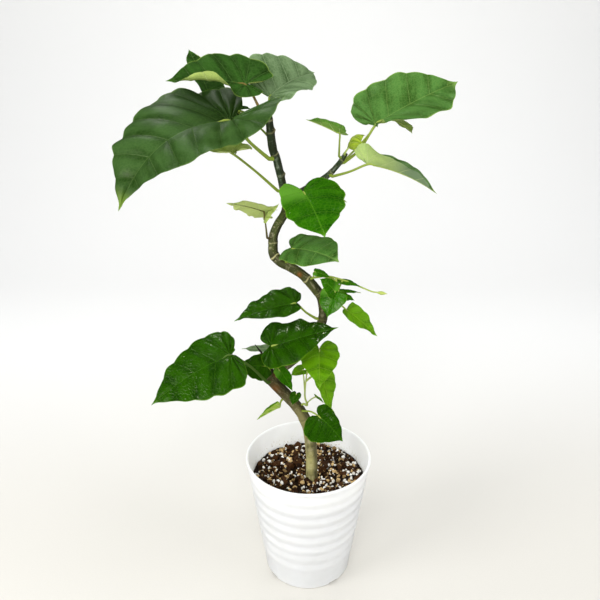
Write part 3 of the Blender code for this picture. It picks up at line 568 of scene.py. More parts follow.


# The grey in these base colours is a painted sheen, and the dark heel colour is painted shade
SHADED = LeafFinish("leaf_cuticle_shaded", "#1B3808", "#365624", "#9DB354", "#5A783C", "#5C7A30", "#7A982B",
                    Sheen.SILKY, 0.30, "#122C02", -1.0)
DUSKY = LeafFinish("leaf_cuticle_dusky", "#173206", "#2C5416", "#B0C46A", "#58803A", "#8CAA48", "#4E7C20",
                   Sheen.SATIN, 0.35)
# The grey in these base colours is a painted sheen
PAINTED_SHEEN = LeafFinish("leaf_cuticle_painted_sheen", "#3A562C", "#6A845A", "#98AE58", "#9AB384", "#93AC7E", "#86A070",
                      Sheen.SILKY, 0.50)
BROAD = LeafFinish("leaf_cuticle_broad", "#254A0C", "#4C7A34", "#98AE58", "#7C9F4E", "#8CAE44", "#7FA04A",
                   Sheen.SATIN, 0.4)
# The heel colour is painted light on the raised lobe
HEART = LeafFinish("leaf_cuticle_heart", "#144800", "#2A6600", "#98AE50", "#5E9A20", "#80AC2C", "#568A10",
                   Sheen.GLOSSY, 0.32, "#64A030", -1.0, pucker=0.4)
DEEP = LeafFinish("leaf_cuticle_deep", "#0E3200", "#224E00", "#84A03C", "#467A14", "#6A961E", "#4A7C14",
                  Sheen.GLOSSY, 0.3, pucker=0.55)
FRESH = LeafFinish("leaf_cuticle_fresh", "#3A6A00", "#5E9404", "#A2BC50", "#88B42C", "#90BC30", "#74A828",
                   Sheen.SATIN, 0.4)
PALE = LeafFinish("leaf_cuticle_young", "#869C38", "#B2C46E", "#C4D483", "#B9C986", "#B5C775", "#A9BA62",
                  Sheen.DULL, 0.4)
DRABBED = LeafFinish("leaf_cuticle_underlit", "#3A6322", "#6A8C58", "#B6CC7A", "#A6BC74", "#A0B86A", "#98AE50",
                     Sheen.DULL, 0.35, under_painted_sheen="#7C9270")
OLIVE = LeafFinish("leaf_cuticle_olive", "#2F5A12", "#52802A", "#6F9040", "#93AE52", "#86A44C", "#6C8E38",
                   Sheen.SATIN, 0.4)
FURLED = LeafFinish("leaf_cuticle_unfolding", "#5F7C0C", "#9DB430", "#A9BC48", "#B8C662", "#8FA82C", "#8FA828",
                    Sheen.SATIN, 0.4)

STALK_GREEN = StalkFinish("stalk_rind_green", "#8CA236", "#BCCC66")
STALK_RED = StalkFinish("stalk_rind_reddish", "#7A5A34", "#8E8A3E")
STALK_DARK = StalkFinish("stalk_rind_brown", "#4A3A22", "#6E6A34")
STALK_PALE = StalkFinish("stalk_rind_pale", "#AABB5E", "#BCCD76")
STALK_DEEP = StalkFinish("stalk_rind_deep", "#3C5A1C", "#5E8030")

OLD_BARK = BarkFinish("fig_bark_old", "#B0A96E", "#4E4626", "#4E582A", "#C4BC98", 0.7)
YOUNG_BARK = BarkFinish("fig_bark_young", "#3F4C32", "#31412A", "#37492F", "#A3B09C", 0.75)
DRY_BARK = BarkFinish("fig_twig_dry", "#2A221A", "#221B16", "#2B2420", "#5D5348", 0.35)


def smooth_path(points: Any, steps: int) -> list[Vector]:
    """Draw a Catmull-Rom path through the points.

    Args:
        points: the points, in millimetres.
        steps: segments to each span.

    Returns:
        The points of the path.
    """
    vectors = [Vector(p) for p in points]
    if len(vectors) == 2:
        return [vectors[0].lerp(vectors[1], i / steps) for i in range(steps + 1)]
    padded = [vectors[0] * 2 - vectors[1], *vectors, vectors[-1] * 2 - vectors[-2]]
    path = []
    for a, b, c, d in zip(padded, padded[1:], padded[2:], padded[3:]):
        for i in range(steps):
            t = i / steps
            path.append(0.5 * (2 * b + (c - a) * t + (2 * a - 5 * b + 4 * c - d) * t ** 2
                               + (3 * b - a - 3 * c + d) * t ** 3))
    path.append(vectors[-1])
    return path


def smooth_values(values: Any, steps: int) -> list[float]:
    """Put steps - 1 even steps between each pair of values.

    Args:
        values: the numbers to spread.
        steps: segments to each span.

    Returns:
        The longer list.
    """
    spread = [a + (b - a) * i / steps for a, b in zip(values, values[1:]) for i in range(steps)]
    return [*spread, values[-1]]


def smoothstep(low: float, high: float, value: float) -> float:
    """Return 0 under low, 1 over high, and a smooth rise between them."""
    t = max(0.0, min(1.0, (value - low) / (high - low)))
    return t * t * (3.0 - 2.0 * t)


@dataclass
class Run:
    """A limb or a twig as its path and the radius at each point, in millimetres."""

    path: list
    radii: list

    def place(self, at: float) -> Vector:
        """Return the point at a fraction of the path."""
        spot = at * (len(self.path) - 1)
        i = min(int(spot), len(self.path) - 2)
        return self.path[i].lerp(self.path[i + 1], spot - i)

    def tangent(self, at: float) -> Vector:
        """Return the direction of the path at a fraction of it."""
        return (self.place(min(1.0, at + 0.02)) - self.place(max(0.0, at - 0.02))).normalized()

    def clearance(self, point: Vector) -> float:
        """Return the distance from a point to the skin.

        Args:
            point: a place in millimetres.

        Returns:
            The distance, under zero inside the limb.
        """
        best = math.inf
        for a, b, r_a, r_b in zip(self.path, self.path[1:], self.radii, self.radii[1:]):
            span = b - a
            t = max(0.0, min(1.0, (point - a).dot(span) / span.length_squared))
            best = min(best, (point - a - span * t).length - (r_a + (r_b - r_a) * t))
        return best


@dataclass(frozen=True)
class Limb:
    """A tapering limb through a few points, with its radius at each, in millimetres."""

    points: tuple
    radii: tuple

    def run(self, steps: int = LIMB_STEPS_PER_SPAN) -> Run:
        """Return the limb's smooth path with this many segments to a span."""
        return Run(smooth_path(self.points, steps), smooth_values(self.radii, steps))

    def seated_on_tip(self, parent: Run) -> Run:
        """Return the limb's path with its foot facing the parent's tip.

        Args:
            parent: the limb that it stands on.

        Returns:
            The path that the part's solid follows.
        """
        direction = (parent.path[-1] - parent.path[-2]).normalized()
        tip = parent.path[-1]
        own = self.run()
        kept = [i for i, place in enumerate(own.path) if (place - tip).length > 2.0 * self.radii[0]]
        foot = [tip + direction * GAP, tip + direction * self.radii[0]]
        return Run(foot + [own.path[i] for i in kept], [self.radii[0]] * 2 + [own.radii[i] for i in kept])

    def seated_on_side(self, parents: list) -> Run:
        """Return the limb's path from where it first leaves its parents' skin.

        Args:
            parents: the limbs near its foot.

        Returns:
            The path that the part's solid follows.
        """
        first, second = Vector(self.points[0]), Vector(self.points[1])
        foot = clear_start(first, (second - first).normalized(), self.radii[0], parents)
        return Limb((foot, *self.points[1:]), self.radii).run()


def clear_start(origin: Vector, direction: Vector, radius: float, runs: Any) -> Vector:
    """Find where a stem first leaves the skin of every limb by the gap.

    Args:
        origin: the point on the limb's middle line.
        direction: the way out.
        radius: the stem's radius.
        runs: the limbs to stay clear of.

    Returns:
        The stem's first point.
    """
    side = direction.orthogonal().normalized()
    up = direction.cross(side)
    turns = [math.tau * i / RING_POINTS for i in range(RING_POINTS)]
    ring = [(side * math.cos(t) + up * math.sin(t)) * radius for t in turns]
    for i in range(1, MOST_CLEAR_STEPS):
        centre = origin + direction * (i * CLEAR_STEP)
        if min(run.clearance(centre + offset) for offset in ring for run in runs) >= GAP:
            return centre
    return origin


def half_outline() -> tuple[list, list]:
    """Return the smooth half outline of a blade as points with their share of its whole length."""
    points = smooth_path([(a, b, 0.0) for a, b in HALF_OUTLINE], 12)
    reached = [0.0]
    for a, b in zip(points, points[1:]):
        reached.append(reached[-1] + (b - a).length)
    return points, [r / reached[-1] for r in reached]


OUTLINE_POINTS, OUTLINE_SHARES = half_outline()


def outline_at(share: float) -> tuple[float, float]:
    """Return the distances along and across the midrib at a share of the half outline."""
    for i in range(len(OUTLINE_SHARES) - 1):
        if share <= OUTLINE_SHARES[i + 1]:
            break
    span = OUTLINE_SHARES[i + 1] - OUTLINE_SHARES[i]
    place = OUTLINE_POINTS[i].lerp(OUTLINE_POINTS[i + 1], (share - OUTLINE_SHARES[i]) / span)
    return place.x, max(place.y, 0.0)


@dataclass(frozen=True)
class Half:
    """One side of a blade.

    lift is how far it rises from the level beside the midrib, curl how far it bends
    down from there to its edge, both in degrees. share scales its width, lobe how far its
    rounded lobe reaches back past the stalk, and full widens it toward the tip. roll is
    how much further it bends where the edge rolls in toward the tip, and ear how much
    further its lobe rises, both in degrees.
    """

    lift: float = 12.0
    curl: float = 20.0
    share: float = 1.0
    lobe: float = 1.0
    full: float = 0.0
    roll: float = 0.0
    ear: float = 0.0


@dataclass(frozen=True)
class Blade:
    """One leaf blade, in millimetres and degrees.

    base is where the stalk joins. heading turns from +X toward +Y and pitch is the rise
    from base to tip. droop is the bend of the midrib, twist turns the far end about it,
    and lobe_drop is how far the lobes follow that bend back.
    """

    base: tuple
    heading: float
    pitch: float
    length: float
    width: float
    droop: float = 20.0
    twist: float = 0.0
    left: Half = field(default_factory=Half)
    right: Half = field(default_factory=Half)
    lobe_drop: float = 0.5

    @property
    def vein_step(self) -> float:
        """Return the share of the half outline between two side veins."""
        if self.length >= BROAD_FROM:
            return VEIN_STEP_BROAD
        return VEIN_STEP_LARGE if self.length >= LARGE_FROM else VEIN_STEP_SMALL

    @property
    def stalk_radius(self) -> float:
        """Return the radius of the stalk that carries the blade."""
        return STALK_THIN + self.length * STALK_PER_LENGTH

    def frame_at(self, t: float) -> tuple[Vector, Vector, Vector]:
        """Return the midrib's point, side direction and normal at a share of its length.

        Args:
            t: from 0 at the stalk to 1 at the tip, and under 0 in the lobes.

        Returns:
            The point in millimetres and two unit vectors.
        """
        heading = math.radians(self.heading)
        pitch = math.radians(self.pitch)
        along = Vector((math.cos(heading) * math.cos(pitch), math.sin(heading) * math.cos(pitch), math.sin(pitch)))
        left = Vector((-math.sin(heading), math.cos(heading), 0.0))
        up = along.cross(left)
        rise = 2.0 * math.tan(math.radians(self.droop) / 4.0)
        height = rise * t * (1.0 - t) if t > 0 else rise * t * self.lobe_drop
        slope = rise * (1.0 - 2.0 * max(t, 0.0))
        place = Vector(self.base) + (along * t + up * height) * self.length
        tangent = (along + up * slope).normalized()
        normal = tangent.cross(left)
        turn = math.radians(self.twist) * t
        side = left * math.cos(turn) + normal * math.sin(turn)
        return place, side, normal * math.cos(turn) - left * math.sin(turn)

    def point(self, t: float, across: float, half: Half, sign: int) -> Vector:
        """Return a point of the blade.

        Args:
            t: the share along the midrib.
            across: the distance across it, in blade lengths.
            half: the side that the point is on.
            sign: 1 on the left half and -1 on the right.

        Returns:
            The point in millimetres.
        """
        place, side, normal = self.frame_at(t)
        widest = HALF_OUTLINE_WIDEST * 2.0 * self.length
        reach = across * self.width / widest * half.share
        curl = half.curl + half.roll * smoothstep(ROLL_FROM, ROLL_TO, t)
        bend = math.radians(curl) / HALF_OUTLINE_WIDEST or 1e-6
        start = math.radians(half.lift + half.ear * smoothstep(EAR_FROM, EAR_TO, -t))
        out = (math.sin(start) - math.sin(start - bend * reach)) / bend
        rise_out = (math.cos(start - bend * reach) - math.cos(start)) / bend
        return place + (side * (sign * out) + normal * rise_out) * self.length

    def rib_point(self, share: float, part: float, half: Half, sign: int) -> Vector:
        """Return a point on the side vein that ends at a share of the edge.

        Args:
            share: the share of the half outline where the vein ends.
            part: how far out along the vein, from 0 to 1.
            half: the side that the vein is on.
            sign: 1 on the left half and -1 on the right.

        Returns:
            The point in millimetres.
        """
        end_along, end_across = outline_at(share)
        end_across *= 1.0 + half.full * max(end_along, 0.0) ** 2
        start = max(0.0, (end_along - VEIN_START) / (1.0 - VEIN_START))
        if end_along < 0.0:
            end_along *= half.lobe
        return self.point(start + (end_along - start) * part, end_across * part, half, sign)


@dataclass(frozen=True)
class Spray:
    """A mass of foliage: one stem from a limb, and the blades that it carries.

    at is the place along the limb, from 0 at its foot to 1 at its tip. A lone leaf has
    no twig: its stalk is the stem. Otherwise twig lists the points that the stem passes,
    and joints says, for each blade, how far along the twig its own stalk leaves. wave is
    how far the edge waves and quilt how far the tissue swells between the side veins,
    both as a share of the blade's length. ragged is how unevenly the edge grew, as a share
    of its width. bud is the length of a bud at the twig's end.
    """

    name: str
    limb: str
    at: float
    blades: tuple
    twig: tuple = ()
    joints: tuple = ()
    twig_radius: float = 1.6
    arch: float = 0.08
    finish: LeafFinish = DEEP
    stalk: StalkFinish = STALK_GREEN
    slot: str = "leaf"
    wave: float = 0.035
    quilt: float = 0.018
    ragged: float = 0.06
    bud: float = 0.0


@dataclass(frozen=True)
class RearSpray:
    """A spray on the side away from the viewer, whose blades follow a seeded rule."""

    name: str
    limb: str
    at: float
    twig: tuple
    heading: float
    centre: tuple
    reach: float
    length: float
    count: int
    seed: int
    finish: LeafFinish = DEEP

    def fits(self, blade: Blade, runs: dict) -> bool:
        """Tell whether a blade keeps inside the spray's space and clear of every limb."""
        centre = Vector(self.centre)
        for half, sign in ((blade.left, 1), (blade.right, -1)):
            for number in range(SOLID_RIBS + 1):
                share = SOLID_FIRST_RIB + (1.0 - SOLID_FIRST_RIB) * number / SOLID_RIBS
                edge = blade.rib_point(share, 1.0, half, sign)
                if (edge - centre).length > self.reach:
                    return False
                if min(run.clearance(edge) for run in runs.values()) < REAR_LIMB_CLEARANCE:
                    return False
        return True

    def grow(self, runs: dict) -> Spray:
        """Deal the blades round the twig's tip by the part's seeded rule.

        Args:
            runs: the limbs by name.

        Returns:
            The spray with its blades.
        """
        chance = random.Random(self.seed)
        tip = Vector(self.twig[-1])
        blades = []
        for number in range(self.count * REAR_TRIES_PER_BLADE):
            if len(blades) == self.count:
                break
            turn = self.heading + REAR_FAN * math.sin(number * REAR_TURN_STEP) + chance.uniform(-12.0, 12.0)
            length = self.length * chance.uniform(0.8, 1.1)
            out = Vector((math.cos(math.radians(turn)), math.sin(math.radians(turn)), 0.0))
            rise = Vector((0.0, 0.0, REAR_TIER * (len(blades) - 1)))
            base = tip + out * chance.uniform(9.0, 16.0) + rise
            pitch = chance.uniform(-30.0, -5.0)
            blade = Blade(tuple(base), turn, pitch, length, length * REAR_WIDTH_SHARE, droop=30)
            if self.fits(blade, runs):
                blades.append(blade)
        joints = (REAR_JOINT,) * len(blades)
        return Spray(self.name, self.limb, self.at, tuple(blades), twig=self.twig, joints=joints, finish=self.finish)


TRUNK_LOWER = Limb(
    points=((5, -9, 157.3), (5, -9, 172), (4, -8, 205), (0, -6, 237), (-8, -4, 260),
            (-22, 0, 279), (-38, 4, 296), (-53, 6, 314)),
    radii=(8.6, 8.3, 8.1, 8.0, 7.9, 7.8, 8.2, 8.8),
)
TRUNK_UPPER = Limb(
    points=((-44, 5, 303), (-43, 6, 322), (-26, 4, 339), (-5, 0, 360), (9, -5, 383), (17, -10, 407),
            (18, -13, 427), (14, -15, 444), (4, -16, 459), (-8, -15, 472), (-22, -12, 481),
            (-37, -8, 488), (-45, -5, 497), (-46, -1, 508), (-45, 2, 520), (-40, 5, 532), (-32, 8, 545), (-28, 10, 557)),
    radii=(6.0, 7.2, 7.0, 6.8, 6.4, 6.1, 6.0, 6.0, 6.5, 6.1, 5.9, 6.1, 6.5, 6.0, 5.7, 5.6, 5.5, 5.4),
)
LEADER = Limb(
    points=((-28, 10, 557), (-33, 12, 579), (-40, 10, 612), (-45, 8, 626), (-48, 5, 654), (-50, 4, 669)),
    radii=(5.2, 5.0, 4.8, 5.2, 4.7, 4.5),
)
RIGHT_BOUGH = Limb(
    points=((-30, 11, 563), (-6, 12, 576), (20, 14, 591), (34, 14, 605), (44, 12, 620)),
    radii=(3.9, 3.7, 3.6, 3.4, 2.9),
)
DRY_SPUR = Limb(
    points=((-46, 5, 316), (-53, 2, 334), (-60, -1, 350), (-72, -5, 370)),
    radii=(2.2, 1.9, 1.6, 0.7),
)

SPRAYS = (
    Spray("leaf_broad_left", "leader", 0.43, (
        Blade((-92, -15, 661), -142, -30, 168, 168, droop=75, left=Half(-6, 15, 0.82, 1.4, 0.25, ear=19),
              right=Half(24, 10, 1.05, 1.0, 0.4, roll=20, ear=-3), lobe_drop=0.2),), arch=-0.04, finish=SHADED,
        wave=0.028, quilt=0.018, ragged=0.09),
    Spray("leaf_under_left", "leader", 0.15, (
        Blade((-98, 40, 616), 140, -4, 110, 77, droop=25, left=Half(lobe=0.3), right=Half(lobe=0.3)),),
        arch=0.02, finish=PALE),
    Spray("leaf_folded_top", "leader", 0.97, (
        Blade((-76, 8, 700), -161, 3, 92, 100, droop=20, left=Half(-36, 20, 0.42, 1.0, 1.0, roll=-330),
              right=Half(49, 15, 0.95, 1.7, -0.35)),), finish=DUSKY, stalk=STALK_RED),
    Spray("leaf_back_right", "leader", 0.93, (
        Blade((-49, 38, 684), 48, 16, 87, 87, droop=25, left=Half(60, 20, 1.2, 0.6), right=Half(6, 5, 0.87, 0.5, 0.6, roll=38)),),
        finish=PAINTED_SHEEN, wave=0.045),
    Spray("leaf_far_top", "leader", 0.86, (
        Blade((-127, 62, 688), 130, 50, 63, 52, droop=10, left=Half(10, 10, 0.5, 0.3, 2.0),
              right=Half(10, 10, 1.0, 0.3)),), arch=-0.04, finish=DUSKY),
    Spray("leaf_broad_right", "right_bough", 0.80, (
        Blade((79, 15, 654), 11, 25, 111, 111, droop=12, twist=20, left=Half(42, 15, 1.0, 0.65),
              right=Half(5, 0, 1.2, 0.1, 1.2, ear=8), lobe_drop=0.0),), arch=-0.12, finish=BROAD, wave=0.035),
    Spray("leaf_drooping_right", "right_bough", 0.55, (
        Blade((69, -10, 611), -18, -20, 89, 74, droop=28, left=Half(88, 0, 0.4, 0.3, 0.8),
              right=Half(40, 0, 0.7, 0.9, 0.5, ear=48)),), arch=-0.03, finish=DRABBED, quilt=0.0),
    Spray("leaf_small_right", "right_bough", 0.88, (
        Blade((35, -2, 645), 180, 22, 44, 26, droop=10, left=Half(75, 10, 0.45), right=Half(50, 20, 1.0, 0.6)),),
        finish=OLIVE),
    Spray("leaf_unfolding", "right_bough", 0.96, (
        Blade((47, 6, 628), 20, 30, 25, 32, droop=120, left=Half(10, 80, 1.0, 0.3, 0.5),
              right=Half(0, 60, 1.0, 0.3, 0.5)),),
        finish=FURLED, stalk=STALK_PALE, slot="leaf_young"),
    Spray("leaf_fork_heart", "leader", 0.06, (
        Blade((-8, -22, 580), -65, -35, 71, 71, droop=25, left=Half(20, 20, 1.35, 1.0),
              right=Half(5, 20, 0.9, 1.0, 1.4, ear=6)),), finish=HEART, quilt=0.008, wave=0.02),
    Spray("leaf_middle_heart", "trunk_upper", 0.62, (
        Blade((-22, -30, 512), -30, -6, 65, 62, droop=30, left=Half(26, 20, 1.05, 0.55, 1.2),
              right=Half(-2, 20, 1.0, 0.45, 1.2)),), finish=BROAD),
    Spray("shoot_pale_left", "trunk_upper", 0.79, (
        Blade((-57, 0, 551), -145, 18, 55, 41, droop=15, left=Half(40, 10, 0.9), right=Half(-48, 10, 0.8, 1.4)),
        Blade((-56, -3, 541), -12, 48, 29, 19, droop=10, left=Half(30, 10, lobe=0.3), right=Half(-20, 10, lobe=0.3)),),
        twig=((-55, -2, 537),), joints=(1.0, 1.0), finish=PALE, stalk=STALK_DARK, slot="leaf_young", wave=0.05,
        ragged=0.35, bud=9.0),
    Spray("shoot_middle", "trunk_upper", 0.50, (
        Blade((6, -24, 480), -22, -13, 22, 11, left=Half(50, lobe=0.3), right=Half(-40, lobe=0.3)),
        Blade((34, -25, 468), -23, -6, 33, 17, left=Half(15, lobe=0.3), right=Half(0, lobe=0.3)),
        Blade((32, -40, 459), -166, 43, 29, 24, left=Half(-50, lobe=0.3), right=Half(60, lobe=0.3)),
        Blade((31, -40, 459), -131, -65, 33, 40, droop=30, left=Half(10, lobe=0.3), right=Half(10, lobe=0.3)),
        Blade((34, -32, 451), 12, -20, 25, 23, droop=30, left=Half(30, lobe=0.3), right=Half(0, lobe=0.3)),
        Blade((36, -24, 455), 9, -10, 31, 13, droop=10, left=Half(5, lobe=0.3), right=Half(5, lobe=0.3)),),
        twig=((8, -25, 473), (24, -27, 475), (49, -28, 468), (64, -30, 462), (77, -32, 457), (84, -33, 456)),
        joints=(0.11, 0.33, 0.38, 0.44, 0.49, 0.41), twig_radius=1.5, finish=HEART, bud=13.0),
    Spray("leaf_pointed_right", "trunk_upper", 0.41, (
        Blade((47, -25, 429), -21, -36, 52, 32, droop=10, left=Half(35, 20, lobe=0.1),
              right=Half(5, 20, 0.95, 0.3, 0.8)),), finish=FRESH),
    Spray("leaf_middle_left", "trunk_upper", 0.30, (
        Blade((-17, -25, 438), -166, -12, 82, 69, left=Half(-2, 20, 0.8, 0.1, ear=20), right=Half(22, lobe=0.55)),),
        arch=-0.05),
    Spray("leaf_low_dark", "trunk_upper", 0.08, (
        Blade((-48, -40, 385), -5, 19, 90, 88, droop=4, left=Half(22, 20, 1.0, 0.7, ear=14),
              right=Half(-8, 15, 1.0, 0.6)),)),
    Spray("leaf_low_left", "trunk_lower", 0.97, (
        Blade((-104, -20, 362), -158, -26, 120, 108, droop=25, left=Half(-13, 20, 1.0, 0.4),
              right=Half(22, lobe=0.55)),), stalk=STALK_DEEP, wave=0.02),
    Spray("leaf_low_rear", "trunk_lower", 0.93, (
        Blade((-58, 27, 321), 173, -6, 45, 42, droop=10, left=Half(-50, 10), right=Half(35)),)),
    Spray("leaf_low_small_rear", "trunk_upper", 0.10, (
        Blade((-57, 40, 341), 154, -12, 46, 18, droop=10, left=Half(0), right=Half(20)),), finish=PAINTED_SHEEN),
    Spray("shoot_low", "trunk_lower", 0.66, (
        Blade((-8, -4, 331), -139, -2, 22, 18, droop=10, left=Half(0), right=Half(50)),
        Blade((13, -23, 372), -90, -34, 56, 52, droop=30),
        Blade((15, -3, 327), -28, -72, 58, 40, droop=10, left=Half(30, lobe=0.5), right=Half(10, lobe=0.5)),
        Blade((10, -8, 292), 10, -45, 16, 12, droop=10),),
        twig=((-2, -5, 277), (-5, -7, 290), (-5, -8, 304), (-3, -9, 328)), joints=(0.7, 1.0, 0.9, 0.2),
        finish=FRESH, stalk=STALK_PALE),
    Spray("leaf_low_glossy", "trunk_lower", 0.62, (
        Blade((13, -40, 281), -20, -43, 47, 46, left=Half(30, lobe=0.8), right=Half(-28, 5, 1.5)),)),
    Spray("leaf_low_short", "trunk_upper", 0.05, (
        Blade((-40, -27, 344), -39, -46, 34, 24, left=Half(lobe=0.4), right=Half(lobe=0.4)),), finish=HEART),
    Spray("leaf_low_round", "trunk_lower", 0.76, (
        Blade((-17, -20, 303), -118, -44, 16, 16),)),
    Spray("leaf_low_edge", "trunk_lower", 0.80, (
        Blade((-40, -8, 276), -162, -24, 37, 18, droop=5, left=Half(80, 10, lobe=0.3),
              right=Half(80, 10, lobe=0.3)),), finish=FRESH, slot="leaf_young"),
)

REAR_SPRAYS = (
    RearSpray("shoot_rear_top", "leader", 0.70, ((-62, 30, 648), (-86, 62, 656)), 125, (-125, 95, 645), 75, 82, 3, 4),
    RearSpray("shoot_rear_right", "right_bough", 0.50, ((42, 30, 607), (66, 38, 630), (84, 49, 650), (94, 60, 662)),
              40, (118, 82, 678), 52, 52, 2, 7),
    RearSpray("shoot_rear_middle", "trunk_upper", 0.93, ((-22, 30, 556), (-8, 44, 562)), 75, (12, 75, 548), 52, 54, 2, 3),
    RearSpray("shoot_rear_low", "trunk_upper", 0.16, ((-26, 26, 352), (-20, 42, 364)), 85, (-8, 75, 360), 60, 62, 2, 9),
)


@dataclass
class Surface:
    """The points, faces and finish data of one piece, gathered before its mesh is made."""

    points: list = field(default_factory=list)
    faces: list = field(default_factory=list)
    charts: list = field(default_factory=list)
    point_data: dict = field(default_factory=dict)
    face_data: dict = field(default_factory=dict)

    def add_point(self, place: Vector, **data: Any) -> int:
        """Add a point in millimetres with its finish data, and return its number."""
        self.points.append(place * MM)
        for name, value in data.items():
            self.point_data.setdefault(name, []).append(value)
        return len(self.points) - 1

    def add_face(self, corners: list, chart: list, **data: float) -> None:
        """Add a face, leaving out corners that fall together.

        Args:
            corners: the numbers of its points.
            chart: a place on the bake chart for each corner.
            data: numbers for the finish, by name.
        """
        kept = [(c, uv) for k, (c, uv) in enumerate(zip(corners, chart)) if c not in corners[:k]]
        if len(kept) < 3:
            return
        self.faces.append([c for c, _ in kept])
        self.charts.extend(uv for _, uv in kept)
        for name, value in data.items():
            self.face_data.setdefault(name, []).append(value)

    def build(self, name: str, material: bpy.types.Material, sharp_deg: float = 60.0) -> bpy.types.Object:
        """Make the piece's object from what was gathered.

        Args:
            name: the piece's name.
            material: its finish.
            sharp_deg: faces that meet more steeply than this keep a crisp edge.

        Returns:
            The new object, linked to the scene.
        """
        mesh = bpy.data.meshes.new(name)
        mesh.from_pydata(self.points, [], self.faces)
        chart = mesh.uv_layers.new(name="OFBake")
        chart.data.foreach_set("uv", [x for uv in self.charts for x in uv])
        for key, values in self.point_data.items():
            vector = isinstance(values[0], (tuple, Vector))
            layer = mesh.attributes.new(key, "FLOAT_VECTOR" if vector else "FLOAT", "POINT")
            layer.data.foreach_set("vector" if vector else "value",
                                   [x for v in values for x in v] if vector else values)
        for key, values in self.face_data.items():
            layer = mesh.attributes.new(key, "FLOAT", "FACE")
            layer.data.foreach_set("value", values)
        mesh.materials.append(material)
        mesh.shade_smooth()
        mesh.set_sharp_from_angle(angle=math.radians(sharp_deg))
        item = bpy.data.objects.new(name, mesh)
        bpy.context.scene.collection.objects.link(item)
        return item


def settle(item: bpy.types.Object, slot: str, *nodes: str) -> bpy.types.Object:
    """Ride a piece on the body, hide the nodes that it replaces, and log it.

    Args:
        item: the piece.
        slot: the record's material slot; not used.
        nodes: the nodes that it replaces.

    Returns:
        The same piece.
    """
    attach(item, BODY)
    if nodes:
        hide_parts(*nodes)
    logging.info("piece %s: %d faces", item.name, len(item.data.polygons))
    return item


@dataclass
class Tube:
    """A round limb, twig or stalk swept along a path, with relief on its skin.

    The path and its radii are in millimetres. sides is how many sides the tube has, and
    age how old its skin is at both ends, as a share.
    """

    path: list
    radii: list
    sides: int
    age: tuple = (0.0, 1.0)

    def frames(self) -> list:
        """Return the two directions across the path at each point, without twist."""
        frames = []
        ahead = (self.path[1] - self.path[0]).normalized()
        side = ahead.orthogonal().normalized()
        for i in range(len(self.path)):
            before, after = self.path[max(i - 1, 0)], self.path[min(i + 1, len(self.path) - 1)]
            turned = (after - before).normalized()
            side = ahead.rotation_difference(turned) @ side
            side = (side - turned * side.dot(turned)).normalized()
            ahead = turned
            frames.append((side, ahead.cross(side)))
        return frames

    def skin(self, along: float, turn: float, out: Vector, radius: float) -> tuple[float, tuple]:
        """Return the relief in millimetres and the marks at a place on the skin."""
        return 0.0, (0.0, 0.0, 0.0)

    def sweep(self, surface: Surface, row: int, rows: int) -> None:
        """Add the tube to a surface, with its bake chart in one row of the square.

        Args:
            surface: the piece that takes it.
            row: the row of the bake chart.
            rows: how many rows the chart has.
        """
        along = 0.0
        rings = []
        lengths = [(b - a).length for a, b in zip(self.path, self.path[1:])]
        total = sum(lengths)
        for i, ((side, up), place, radius) in enumerate(zip(self.frames(), self.path, self.radii)):
            share = along / total
            age = self.age[0] + (self.age[1] - self.age[0]) * share
            ring = []
            for k in range(self.sides):
                turn = math.tau * k / self.sides
                out = side * math.cos(turn) + up * math.sin(turn)
                relief, marks = self.skin(along, turn, out, radius)
                # The course closes round the limb, so that a pattern has no seam
                x, y = radius * math.cos(turn), radius * math.sin(turn)
                course = (x + y * COURSE_TURN, along + y * COURSE_RISE, age)
                ring.append(surface.add_point(place + out * (radius + relief), course=course, mark=marks))
            rings.append(ring)
            along += lengths[i] if i < len(lengths) else 0.0
        count = len(rings) - 1
        for i, (low, high) in enumerate(zip(rings, rings[1:])):
            for k in range(self.sides):
                n = (k + 1) % self.sides
                u0, u1 = i / count, (i + 1) / count
                v0, v1 = (row + 0.02 + 0.96 * k / self.sides) / rows, (row + 0.02 + 0.96 * (k + 1) / self.sides) / rows
                surface.add_face([low[k], low[n], high[n], high[k]], [(u0, v0), (u0, v1), (u1, v1), (u1, v0)])
        for ring, u, flip in ((rings[0], 0.0, True), (rings[-1], 1.0, False)):
            corners = ring[::-1] if flip else ring
            chart = [(u, (row + 0.02 + 0.96 * k / self.sides) / rows) for k in range(self.sides)]
            surface.add_face(corners, chart[::-1] if flip else chart)


@dataclass(frozen=True)
class Knot:
    """A bump or scar on a limb: its place, size and height, and how far it is stained.

    at is the place along the limb and azimuth the way it faces, in degrees from +X toward
    +Y. stain holds how pale, how orange and how dark its middle is.
    """

    at: float
    azimuth: float
    size: float
    height: float
    stain: tuple = (0.0, 0.0, 0.0)


@dataclass(frozen=True)
class Bark:
    """What grows on one limb's skin.

    rings holds the place along the limb and the paleness of each leaf-scar ring. age is
    how old the skin is at both ends, and rough scales its ridges.
    """

    sides: int
    rings: tuple
    knots: tuple
    age: tuple
    seed: float
    rough: float = 1.0


